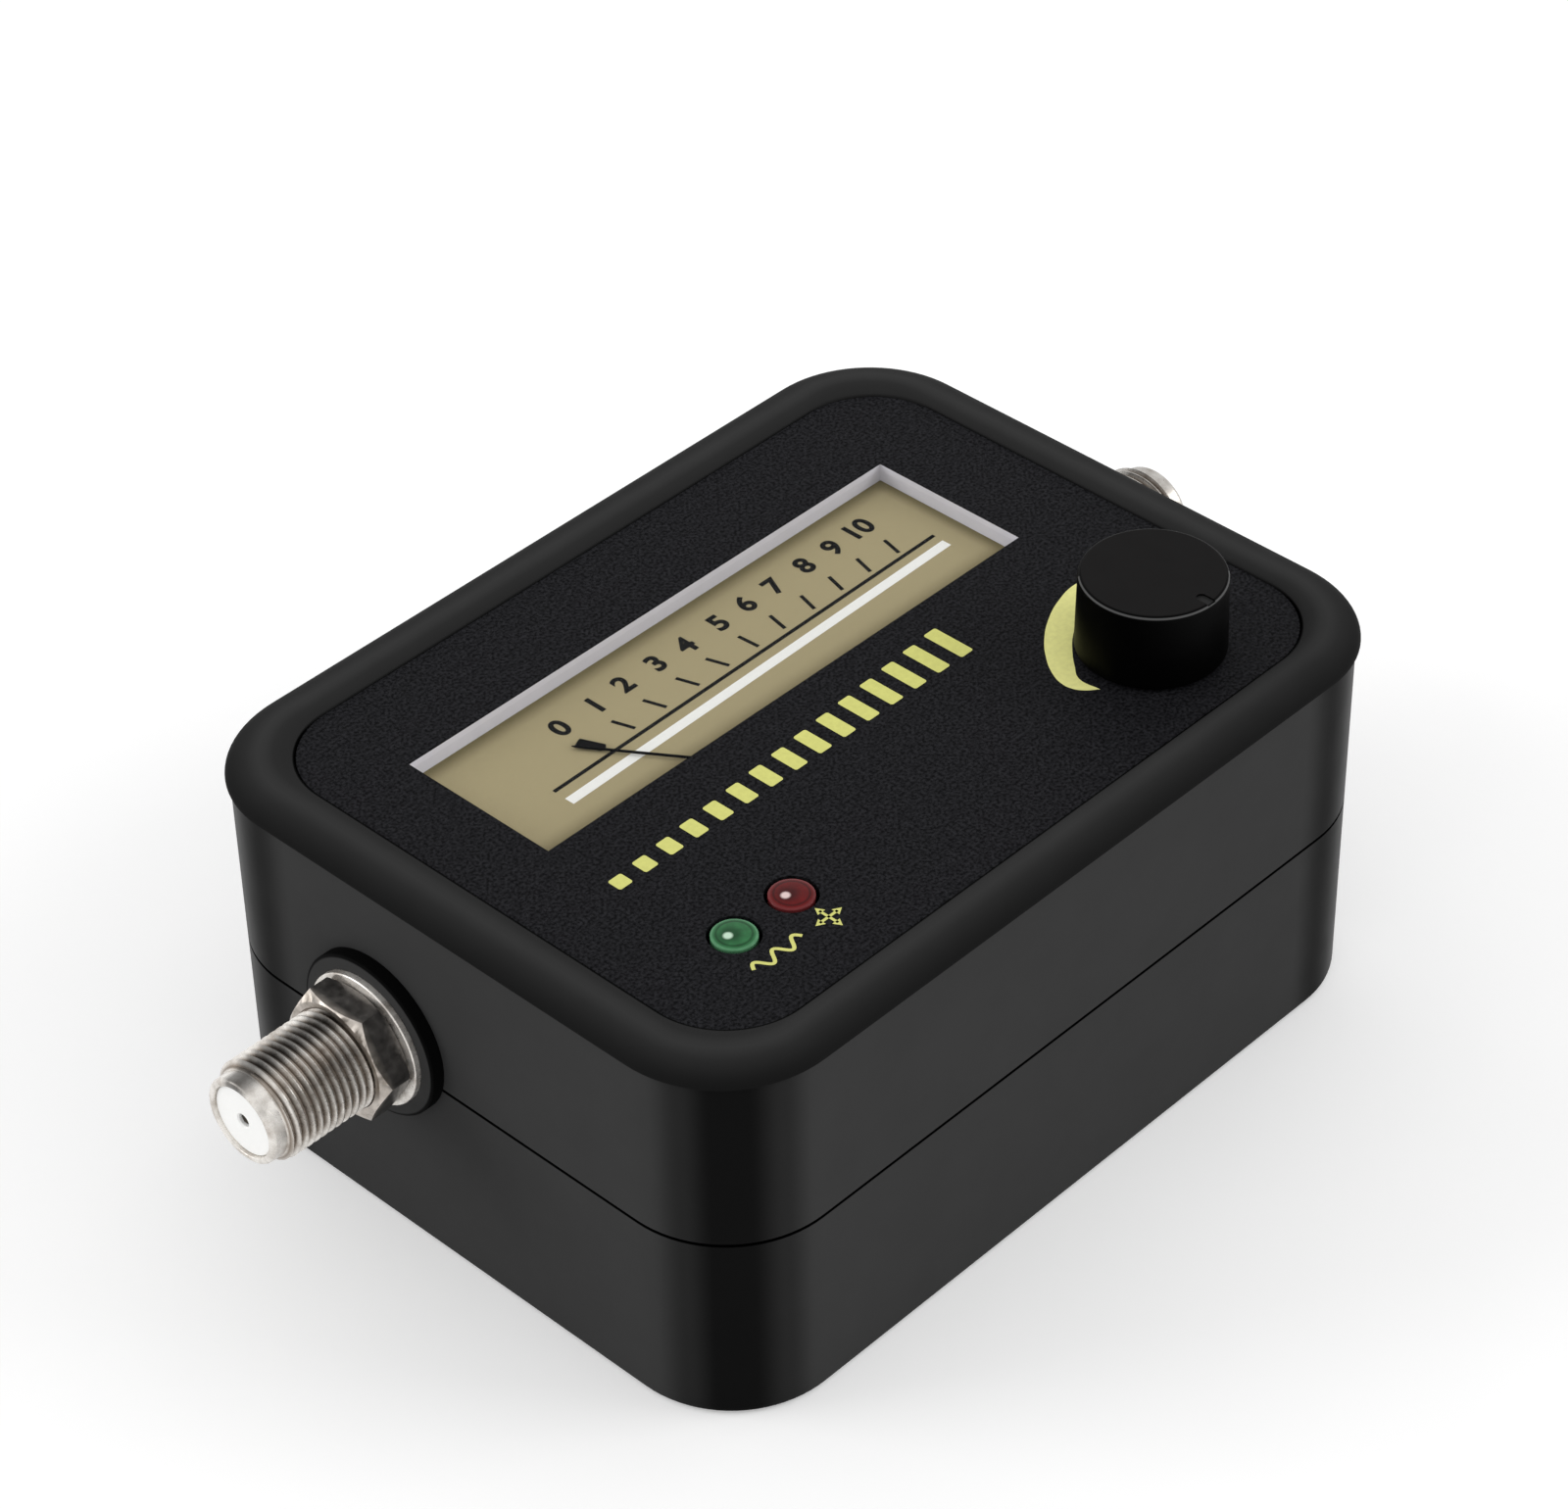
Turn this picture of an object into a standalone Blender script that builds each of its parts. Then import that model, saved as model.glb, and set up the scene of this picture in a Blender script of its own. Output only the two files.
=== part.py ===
"""Satellite signal meter: a hand-held analogue meter between two coaxial sockets.

The case is two moulded half shells with a rolled rim round the front panel. A moving-coil
meter shows the level through a long window, a gain knob turns a potentiometer, two lamps
show the receiver's switching state, and a coaxial socket sits on each end wall.

Lengths are metres, +Z is up. The origin is on the base, under the middle of the case.
+X runs along the scale, from zero to full scale, and +Y points away from the reader.
"""

import math

import bmesh
import bpy
from mathutils import Matrix, Vector

mm = 0.001

# Clearances
seat_gap = 0.3 * mm
sheet_gap = 0.1 * mm
running_gap = 0.1 * mm
overrun = 1.0 * mm

# Facets round a full turn
case_corner_steps = 8
fine_steps = 40
round_steps = 24
small_steps = 10
wire_steps = 6

# Case
case_length = 85.0 * mm
case_width = 64.4 * mm
case_corner_radius = 10.6 * mm
case_wall = 2.2 * mm
case_floor = 2.2 * mm
base_edge_radius = 0.8 * mm
parting_gap = 0.3 * mm
lip_height = 1.6 * mm
lip_thickness = 0.9 * mm
lip_clearance = 0.2 * mm

# Rolled rim round the front panel
rim_side_width = 4.65 * mm
rim_front_width = 4.05 * mm
rim_back_width = 5.05 * mm
rim_depth = 1.4 * mm
rim_overhang = 0.4 * mm
rim_crest_rise = 0.45 * mm
rim_crest_share = 0.74
rim_inner_rise = 0.1 * mm
rim_arc_steps = 6

# Label sheet on the front panel
label_height = 38.4 * mm
label_thickness = 0.5 * mm
label_corner_radius = 7.8 * mm
panel_thickness = 1.9 * mm

# Window in the label, by its margins to the label's edges
window_left_margin = 7.85 * mm
window_right_margin = 9.45 * mm
window_back_margin = 10.25 * mm
window_width = 16.75 * mm

# Screw posts of the case and their screws
post_wall_gap = 1.5 * mm
post_radius = 4.1 * mm
screw_well_radius = 3.1 * mm
screw_well_depth = 9.0 * mm
screw_clear_radius = 1.7 * mm
screw_pilot_depth = 8.0 * mm
case_screw_shank_radius = 1.4 * mm
case_screw_head_radius = 2.8 * mm
case_screw_head_height = 1.9 * mm
screw_engagement = 5.15 * mm
case_screw_slot_width = 1.0 * mm
case_screw_slot_depth = 0.9 * mm
screw_point_length = 1.2 * mm

# Meter: pivot and pointer
pivot_place_share = 0.5514
pivot_front_inset = 8.15 * mm
pointer_end_margin = 12.17 * mm
pointer_back_margin = 0.9 * mm
pointer_wire_radius = 0.15 * mm
pointer_head_length = 3.4 * mm
pointer_head_width = 1.5 * mm
pointer_head_thickness = 0.2 * mm
pointer_tail_reach = 5.0 * mm
pointer_tail_radius = 0.45 * mm
pointer_knee_inner = 7.0 * mm
pointer_knee_outer = 10.5 * mm
pointer_hub_radius = 1.1 * mm
pointer_hub_thickness = 0.5 * mm
pointer_clear_under_lens = 0.25 * mm

# Meter: scale plate, lens and housing
scale_depth = 1.85 * mm
scale_thickness = 0.5 * mm
scale_front_margin = 1.2 * mm
lens_flange_thickness = 0.45 * mm
lens_flange_width = 0.6 * mm
housing_wall = 0.9 * mm
housing_floor = 0.9 * mm
housing_inner_clear = 0.2 * mm
housing_ear_width = 1.0 * mm
housing_ear_height = 0.9 * mm
housing_bar_depth = 1.8 * mm
stem_half_width = 8.0 * mm
stem_fan_clear = 0.71 * mm
stem_fan_root_clear = 3.98 * mm
stem_front_reach = 5.9 * mm
stem_back_gap = 3.15 * mm
stem_depth = 13.7 * mm
stem_step = 0.1 * mm

# Meter: magnet system and moving coil
yoke_radius = 5.6 * mm
yoke_bore_radius = 4.6 * mm
yoke_height = 6.6 * mm
yoke_lift = 2.8 * mm
core_radius = 3.0 * mm
core_height = 7.0 * mm
core_pin_radius = 0.5 * mm
coil_inner_half_width = 3.45 * mm
coil_side_thickness = 0.7 * mm
coil_depth = 2.0 * mm
coil_bar_height = 0.6 * mm
coil_air_gap = 0.5 * mm
coil_pivot_radius = 0.3 * mm
spring_inner_radius = 0.8 * mm
spring_outer_radius = 2.9 * mm
spring_wire_radius = 0.08 * mm
spring_turns = 3
spring_points_per_turn = 12
bridge_thickness = 0.6 * mm
bridge_width = 2.4 * mm
bridge_leg_thickness = 0.9 * mm
jewel_radius = 0.9 * mm
jewel_length = 1.2 * mm
terminal_radius = 0.4 * mm
terminal_left_margin = 10.2 * mm
terminal_right_margin = 12.2 * mm
terminal_front_margin = 2.85 * mm

# Gain control
knob_right_inset = 13.65 * mm
knob_front_inset = 9.55 * mm
knob_radius = 6.5 * mm
knob_base_radius = 6.65 * mm
knob_height = 7.6 * mm
knob_edge_radius = 0.45 * mm
knob_hollow_radius = 5.2 * mm
knob_hollow_depth = 3.2 * mm
knob_bore_depth = 6.3 * mm
knob_notch_width = 0.8 * mm
knob_notch_length = 1.7 * mm
knob_notch_depth = 0.6 * mm
shaft_radius = 2.0 * mm
shaft_flat_depth = 0.5 * mm
shaft_flat_length = 3.4 * mm
shaft_foot = 3.0 * mm
bushing_radius = 3.0 * mm
bushing_stand = 2.8 * mm
bushing_flange_radius = 4.5 * mm
bushing_flange_thickness = 0.6 * mm
pot_radius = 6.5 * mm
pot_nut_flats = 8.0 * mm
pot_nut_thickness = 1.7 * mm
pot_washer_radius = 4.5 * mm
pot_washer_thickness = 0.4 * mm
wafer_width = 9.0 * mm
wafer_reach = 3.0 * mm
wafer_thickness = 1.2 * mm
wafer_pin_pitch = 2.5 * mm
wafer_pin_width = 0.7 * mm

# Indicator lamps
lamp_left_inset = 10.65 * mm
lamp_front_inset = 9.85 * mm
lamp_pitch = 6.7 * mm
lamp_radius = 2.4 * mm
lamp_flange_radius = 2.9 * mm
lamp_flange_thickness = 1.0 * mm
lamp_height = 8.6 * mm
lamp_proud = 0.9 * mm
lamp_dome_steps = 5
lead_width = 0.5 * mm
lead_pitch = 2.54 * mm

# Coaxial sockets on the end walls
socket_back_inset = 23.6 * mm
socket_drop = 16.4 * mm
socket_over_parting = 2.4 * mm
socket_reach = 15.5 * mm
socket_thread_radius = 4.76 * mm
socket_bore_radius = 3.4 * mm
socket_nose_radius = 4.1 * mm
socket_nose_length = 1.6 * mm
socket_nose_edge = 0.35 * mm
socket_block_side = 11.0 * mm
socket_block_length = 7.0 * mm
insulator_recess = 0.3 * mm
contact_radius = 0.5 * mm
contact_recess = 0.6 * mm
contact_tail = 1.6 * mm
collar_radius = 7.8 * mm
collar_thickness = 1.2 * mm
collar_edge = 0.25 * mm
washer_radius = 6.6 * mm
washer_thickness = 0.5 * mm
socket_nut_flats = 11.0 * mm
socket_nut_thickness = 3.0 * mm
socket_nut_turn = 30.0
nut_corner_chamfer = 0.5 * mm

# Circuit board and what it carries
board_end_gap = 1.3 * mm
board_edge_gap = 1.5 * mm
board_post_gap = 1.2 * mm
board_thickness = 1.6 * mm
pillar_radius = 2.6 * mm
pillar_rear_end_inset = 13.0 * mm
pillar_rear_inset = 5.0 * mm
pillar_front_end_inset = 2.8 * mm
pillar_front_inset = 16.5 * mm
board_screw_shank_radius = 0.95 * mm
board_screw_head_radius = 1.9 * mm
board_screw_head_height = 1.3 * mm
board_screw_length = 6.0 * mm
board_screw_slot_width = 0.7 * mm
board_screw_slot_depth = 0.6 * mm
buzzer_radius = 6.0 * mm
buzzer_height = 8.0 * mm
buzzer_vent_radius = 1.0 * mm
capacitor_large_radius = 3.15 * mm
capacitor_large_height = 9.0 * mm
capacitor_small_radius = 2.5 * mm
capacitor_small_height = 7.0 * mm
capacitor_crimp_depth = 0.35 * mm
chip_length = 9.8 * mm
chip_width = 6.4 * mm
chip_height = 3.4 * mm
chip_edge = 0.4 * mm
regulator_width = 4.6 * mm
regulator_depth = 3.6 * mm
regulator_height = 4.6 * mm
regulator_terminal_gap = 3.8 * mm
choke_ring_radius = 3.4 * mm
choke_wire_radius = 1.5 * mm
chip_pin_gap = 1.2 * mm
chip_terminal_gap = 2.9 * mm
chip_stem_gap = 1.7 * mm

# Places under the board, as shares of its half length and half width
buzzer_place_shares = (-0.36, 0.60)
capacitor_large_place_shares = (0.12, 0.62)
capacitor_small_place_shares = (0.55, 0.55)
detector_chip_place_share = -0.52

# Places worked out from the sizes above
end_wall_x = case_length / 2
label_length = case_length - 2 * rim_side_width
label_width = case_width - rim_front_width - rim_back_width
label_centre_y = (rim_front_width - rim_back_width) / 2
label_end_x = label_length / 2
label_front_y = label_centre_y - label_width / 2
label_back_y = label_centre_y + label_width / 2
window_left = window_left_margin - label_end_x
window_right = label_end_x - window_right_margin
window_back = label_back_y - window_back_margin
window_front = window_back - window_width
post_x = end_wall_x - case_wall - post_wall_gap - post_radius
post_y = case_width / 2 - case_wall - post_wall_gap - post_radius
pivot_x = window_left + pivot_place_share * (window_right - window_left)
pivot_y = label_front_y + pivot_front_inset
pointer_reach = window_back - pivot_y - pointer_back_margin
pointer_swing = math.asin((pivot_x - window_left - pointer_end_margin) / pointer_reach)
stem_front_y = pivot_y - stem_front_reach
stem_back_y = window_front - stem_back_gap
stem_notch_y = stem_back_y + housing_wall + seat_gap * 2
stem_fan_front_y = pivot_y + (stem_half_width - stem_fan_root_clear) / math.tan(pointer_swing)
stem_fan_half_width = (window_front - scale_front_margin - pivot_y) * math.tan(pointer_swing) + stem_fan_clear
terminal_left_x = window_left + terminal_left_margin
terminal_right_x = window_right - terminal_right_margin
terminal_y = window_front + terminal_front_margin
knob_x = label_end_x - knob_right_inset
knob_y = label_front_y + knob_front_inset
lamp_green_x = lamp_left_inset - label_end_x
lamp_red_x = lamp_green_x + lamp_pitch
lamp_y = label_front_y + lamp_front_inset
socket_y = case_width / 2 - socket_back_inset
socket_z = label_height - socket_drop
board_half_length = end_wall_x - case_wall - board_end_gap
board_half_width = case_width / 2 - case_wall - board_edge_gap
pillar_rear_x = board_half_length - pillar_rear_end_inset
pillar_rear_y = board_half_width - pillar_rear_inset
pillar_front_x = board_half_length - pillar_front_end_inset
pillar_front_y = pillar_front_inset - board_half_width

# Heights worked out from the sizes above
rim_base_height = label_height - rim_depth
parting_height = socket_z - socket_over_parting
panel_floor_z = label_height - label_thickness - sheet_gap
ceiling_z = panel_floor_z - panel_thickness
lens_top_z = label_height - sheet_gap
lens_flange_top_z = panel_floor_z - sheet_gap
lens_flange_base_z = lens_flange_top_z - lens_flange_thickness
pointer_plane_z = lens_flange_base_z - pointer_clear_under_lens - pointer_wire_radius
scale_top_z = label_height - scale_depth
scale_base_z = scale_top_z - scale_thickness
bar_floor_z = scale_base_z - sheet_gap
bar_base_z = bar_floor_z - housing_bar_depth
stem_base_z = panel_floor_z - stem_depth - housing_floor
stem_floor_z = stem_base_z + housing_floor
yoke_base_z = stem_floor_z + yoke_lift
yoke_mid_z = yoke_base_z + yoke_height / 2
coil_inner_half_height = core_height / 2 + coil_air_gap
coil_top_z = yoke_mid_z + coil_inner_half_height + coil_bar_height
coil_base_z = yoke_mid_z - coil_inner_half_height - coil_bar_height
spring_plane_z = coil_top_z + running_gap + spring_wire_radius
hub_base_z = spring_plane_z + spring_wire_radius + running_gap
hub_top_z = hub_base_z + pointer_hub_thickness
bridge_base_z = hub_top_z + running_gap
bridge_top_z = bridge_base_z + bridge_thickness
board_base_z = socket_z + socket_block_side / 2 + sheet_gap
board_top_z = board_base_z + board_thickness
knob_base_z = label_height + seat_gap
knob_top_z = knob_base_z + knob_height
pot_washer_base_z = label_height + sheet_gap
pot_nut_base_z = pot_washer_base_z + pot_washer_thickness + sheet_gap
bushing_top_z = label_height + bushing_stand
bushing_flange_top_z = ceiling_z - seat_gap
pot_top_z = bushing_flange_top_z - bushing_flange_thickness - sheet_gap
pot_base_z = board_top_z + sheet_gap
lamp_top_z = label_height + lamp_proud
lamp_base_z = lamp_top_z - lamp_height
parting_low_z = parting_height - parting_gap / 2
parting_high_z = parting_height + parting_gap / 2
rim_outer_inset = -rim_overhang
case_screw_seat_z = screw_well_depth - sheet_gap
case_screw_length = parting_high_z + screw_engagement - case_screw_seat_z


def clear_scene():
    """Remove every object, so the script can be run again in the same file."""
    for item in list(bpy.data.objects):
        bpy.data.objects.remove(item, do_unlink=True)


def make_collection(name):
    """Return a collection of this name, linked to the scene."""
    collection = bpy.data.collections.new(name)
    bpy.context.scene.collection.children.link(collection)
    return collection


def make_material(name, colour, roughness, metallic=0.0, alpha=1.0):
    """Return a Principled material."""
    material = bpy.data.materials.new(name)
    material.use_nodes = True
    shader = material.node_tree.nodes["Principled BSDF"]
    shader.inputs["Base Color"].default_value = (*colour, 1.0)
    shader.inputs["Roughness"].default_value = roughness
    shader.inputs["Metallic"].default_value = metallic
    shader.inputs["Alpha"].default_value = alpha
    return material


clear_scene()
parts = make_collection("satellite_signal_meter")
cutters = make_collection("cutters")

shell_black = make_material("shell_black", (0.042, 0.042, 0.042), 0.42)
label_black = make_material("label_black", (0.015, 0.015, 0.018), 0.62)
housing_grey = make_material("housing_grey", (0.48, 0.48, 0.51), 0.5)
scale_olive = make_material("scale_olive", (0.35, 0.30, 0.17), 0.55)
lens_clear = make_material("lens_clear", (0.95, 0.96, 0.96), 0.05, 0.0, 0.25)
pointer_black = make_material("pointer_black", (0.01, 0.01, 0.01), 0.5)
knob_black = make_material("knob_black", (0.017, 0.016, 0.016), 0.4)
lamp_green = make_material("lamp_green", (0.03, 0.22, 0.07), 0.12)
lamp_red = make_material("lamp_red", (0.22, 0.01, 0.02), 0.12)
nickel = make_material("nickel", (0.66, 0.63, 0.58), 0.25, 1.0)
steel = make_material("steel", (0.55, 0.55, 0.56), 0.35, 1.0)
iron = make_material("iron", (0.28, 0.28, 0.29), 0.5, 1.0)
brass = make_material("brass", (0.72, 0.52, 0.23), 0.3, 1.0)
copper = make_material("copper", (0.72, 0.36, 0.18), 0.35, 1.0)
insulator_white = make_material("insulator_white", (0.86, 0.86, 0.84), 0.45)
board_green = make_material("board_green", (0.03, 0.16, 0.08), 0.45)
wafer_brown = make_material("wafer_brown", (0.23, 0.11, 0.05), 0.6)
component_black = make_material("component_black", (0.02, 0.02, 0.02), 0.5)
capacitor_blue = make_material("capacitor_blue", (0.03, 0.05, 0.16), 0.4)
tinned = make_material("tinned", (0.6, 0.6, 0.6), 0.3, 1.0)


def object_from_bmesh(name, bm, collection, material=None, sharp_degrees=30.0):
    """Turn a bmesh into a smooth-shaded object with sharp edges kept."""
    mesh = bpy.data.meshes.new(name)
    bm.to_mesh(mesh)
    bm.free()
    mesh.shade_smooth()
    mesh.set_sharp_from_angle(angle=math.radians(sharp_degrees))
    item = bpy.data.objects.new(name, mesh)
    collection.objects.link(item)
    if material:
        mesh.materials.append(material)
    else:
        item.hide_render = True
        item.display_type = "WIRE"
    return item


def add_cylinder(bm, radius, low, high, centre, axis="Z", steps=round_steps, top_radius=None):
    """Add a closed cylinder, or a cone, between two places along an axis through centre."""
    turn = {"Z": Matrix(), "X": Matrix.Rotation(math.radians(90.0), 4, "Y"),
            "Y": Matrix.Rotation(math.radians(-90.0), 4, "X")}[axis]
    middle = (low + high) / 2
    place = {"Z": Vector((centre[0], centre[1], middle)),
             "X": Vector((middle, centre[0], centre[1])),
             "Y": Vector((centre[0], middle, centre[1]))}[axis]
    bmesh.ops.create_cone(
        bm, cap_ends=True, segments=steps, radius1=radius,
        radius2=radius if top_radius is None else top_radius,
        depth=high - low, matrix=Matrix.Translation(place) @ turn)


def add_box(bm, low, high):
    """Add a closed box between two opposite corners."""
    size = [b - a for a, b in zip(low, high)]
    middle = [(a + b) / 2 for a, b in zip(low, high)]
    bmesh.ops.create_cube(
        bm, size=1.0, matrix=Matrix.Translation(middle) @ Matrix.Diagonal((*size, 1.0)))


def rounded_rectangle(length, width, radius, centre_x=0.0, centre_y=0.0, steps=case_corner_steps):
    """Return the points of a rounded rectangle, anticlockwise from the +X side."""
    points = []
    for corner, (side_x, side_y) in enumerate(((1, 1), (-1, 1), (-1, -1), (1, -1))):
        for step in range(steps + 1):
            angle = math.radians(90.0 * (corner + step / steps))
            points.append((centre_x + side_x * (length / 2 - radius) + radius * math.cos(angle),
                           centre_y + side_y * (width / 2 - radius) + radius * math.sin(angle)))
    return points


def circle(radius, centre, steps=round_steps):
    """Return the points of a circle."""
    turns = [2.0 * math.pi * step / steps for step in range(steps)]
    return [(centre[0] + radius * math.cos(t), centre[1] + radius * math.sin(t)) for t in turns]


def rectangle(left, right, front, back):
    """Return the four corners of a rectangle, anticlockwise."""
    return [(left, front), (right, front), (right, back), (left, back)]


def loft(name, rings, material=None):
    """Join a run of equal-sized closed rings into one closed solid."""
    bm = bmesh.new()
    loops = [[bm.verts.new(point) for point in ring] for ring in rings]
    for lower, upper in zip(loops, loops[1:]):
        for step in range(len(lower)):
            bm.faces.new((lower[step - 1], lower[step], upper[step], upper[step - 1]))
    bm.faces.new(loops[0])
    bm.faces.new(loops[-1])
    bmesh.ops.recalc_face_normals(bm, faces=bm.faces)
    return object_from_bmesh(name, bm, parts if material else cutters, material)


def plate(name, outlines, base, top, material=None, plane="Z"):
    """Extrude flat outlines, the first the rim and the others holes, between two levels.

    In plane Z the outlines are (x, y) and stand between two heights. In plane Y they are
    (x, z) and stand between two depths.
    """
    curve = bpy.data.curves.new(name, "CURVE")
    curve.dimensions = "2D"
    curve.fill_mode = "BOTH"
    curve.extrude = (top - base) / 2
    for outline in outlines:
        spline = curve.splines.new("POLY")
        spline.points.add(len(outline) - 1)
        for point, (x, y) in zip(spline.points, outline):
            point.co = (x, y, 0.0, 1.0)
        spline.use_cyclic_u = True
    guide = bpy.data.objects.new(name, curve)
    parts.objects.link(guide)
    middle = (base + top) / 2
    if plane == "Z":
        guide.location = (0.0, 0.0, middle)
    else:
        guide.rotation_euler = (math.radians(90.0), 0.0, 0.0)
        guide.location = (0.0, middle, 0.0)
    return mesh_from_curve(guide, name, material)


def wire(name, path, radius, material=None, resolution=1):
    """Sweep a round wire along points."""
    curve = bpy.data.curves.new(name, "CURVE")
    curve.dimensions = "3D"
    curve.bevel_depth = radius
    curve.bevel_resolution = resolution
    curve.use_fill_caps = True
    spline = curve.splines.new("POLY")
    spline.points.add(len(path) - 1)
    for point, place in zip(spline.points, path):
        point.co = (*place, 1.0)
    guide = bpy.data.objects.new(name, curve)
    parts.objects.link(guide)
    return mesh_from_curve(guide, name, material)


def mesh_from_curve(guide, name, material):
    """Replace a curve object by a welded mesh object in world space."""
    bpy.context.view_layer.update()
    depsgraph = bpy.context.evaluated_depsgraph_get()
    mesh = bpy.data.meshes.new_from_object(guide.evaluated_get(depsgraph))
    mesh.transform(guide.matrix_world)
    bpy.data.objects.remove(guide, do_unlink=True)
    bm = bmesh.new()
    bm.from_mesh(mesh)
    bpy.data.meshes.remove(mesh)
    bmesh.ops.remove_doubles(bm, verts=bm.verts, dist=mm * 0.001)
    bmesh.ops.recalc_face_normals(bm, faces=bm.faces)
    return object_from_bmesh(name, bm, parts if material else cutters, material)


def turned(name, profile, material=None, steps=round_steps, closed=False):
    """Spin a profile of (radius, height) points, from the top down its outer side."""
    bm = bmesh.new()
    corners = [bm.verts.new((radius, 0.0, height)) for radius, height in profile]
    for a, b in zip(corners, corners[1:]):
        bm.edges.new((a, b))
    if closed:
        bm.edges.new((corners[-1], corners[0]))
    item = object_from_bmesh(name, bm, parts if material else cutters, material)
    screw = item.modifiers.new("turn", "SCREW")
    screw.axis = "Z"
    screw.angle = 2.0 * math.pi
    screw.steps = steps
    screw.render_steps = steps
    screw.use_merge_vertices = True
    screw.merge_threshold = mm * 0.001
    screw.use_smooth_shade = True
    return item


def combine(item, tool, operation):
    """Cut item with a tool solid, or join the tool solid to it."""
    change = item.modifiers.new(operation.lower(), "BOOLEAN")
    change.operation = operation
    change.solver = "EXACT"
    change.object = tool


def tool_from(name, fill):
    """Build a tool solid: fill adds its closed shapes to a bmesh."""
    bm = bmesh.new()
    fill(bm)
    return object_from_bmesh(name, bm, cutters)


def hexagon(flats, centre_x=0.0, centre_y=0.0, turn=0.0):
    """Return the corners of a hexagon by its size across the flats, turned by some degrees."""
    corner = flats / math.sqrt(3.0)
    turns = [math.radians(turn + 60.0 * step) for step in range(6)]
    return [(centre_x + corner * math.cos(t), centre_y + corner * math.sin(t)) for t in turns]


def arc(centre, radius_a, radius_b, start, end, steps):
    """Return points on an elliptical arc, from one angle in degrees to another."""
    turns = [math.radians(start + (end - start) * step / steps) for step in range(steps + 1)]
    return [(centre[0] + radius_a * math.cos(t), centre[1] + radius_b * math.sin(t)) for t in turns]


post_places = [(x * post_x, y * post_y) for x in (-1, 1) for y in (-1, 1)]
pillar_places = [(-pillar_front_x, pillar_front_y), (pillar_front_x, pillar_front_y),
                 (-pillar_rear_x, pillar_rear_y), (pillar_rear_x, pillar_rear_y)]
lamp_places = {"green": (lamp_green_x, lamp_y), "red": (lamp_red_x, lamp_y)}
knob_place = (knob_x, knob_y)
pivot_place = (pivot_x, pivot_y)


def wall_ring(inset, height):
    """Return a ring of the case outline, moved in from the wall's outer face."""
    outline = rounded_rectangle(case_length - 2 * inset, case_width - 2 * inset,
                                case_corner_radius - inset)
    return [(x, y, height) for x, y in outline]


def rim_ring(share, height):
    """Return a ring between the rim's outer edge, share 0, and the label's edge, share 1."""
    outer = rounded_rectangle(case_length - 2 * rim_outer_inset, case_width - 2 * rim_outer_inset,
                              case_corner_radius - rim_outer_inset)
    inner = rounded_rectangle(label_length + 2 * sheet_gap, label_width + 2 * sheet_gap,
                              label_corner_radius + sheet_gap, centre_y=label_centre_y)
    return [(a[0] + (b[0] - a[0]) * share, a[1] + (b[1] - a[1]) * share, height)
            for a, b in zip(outer, inner)]


def housing_outline(grow):
    """Return the outline of the meter housing's hollow, grown all round.

    A bar lies under the window, and a stem holds the movement. The stem fans out to the bar,
    so that the pointer can swing from one end of the scale to the other.
    """
    left = window_left - housing_inner_clear - grow
    right = window_right + housing_inner_clear + grow
    back = window_back + housing_inner_clear + grow
    bar_front = window_front - scale_front_margin - grow
    stem_front = stem_front_y - grow
    half = stem_half_width + grow
    fan_half = stem_fan_half_width + grow
    return [(pivot_x - half, stem_front), (pivot_x + half, stem_front),
            (pivot_x + half, stem_fan_front_y), (pivot_x + fan_half, bar_front),
            (right, bar_front), (right, back), (left, back), (left, bar_front),
            (pivot_x - fan_half, bar_front), (pivot_x - half, stem_fan_front_y)]


def socket_holes(bm):
    """Add the cylinders that cut the socket holes in both end walls."""
    radius = socket_thread_radius + lip_clearance
    for side in (-1, 1):
        low, high = sorted((side * (end_wall_x - case_wall - overrun), side * (end_wall_x + overrun)))
        add_cylinder(bm, radius, low, high, (socket_y, socket_z), axis="X")


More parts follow.
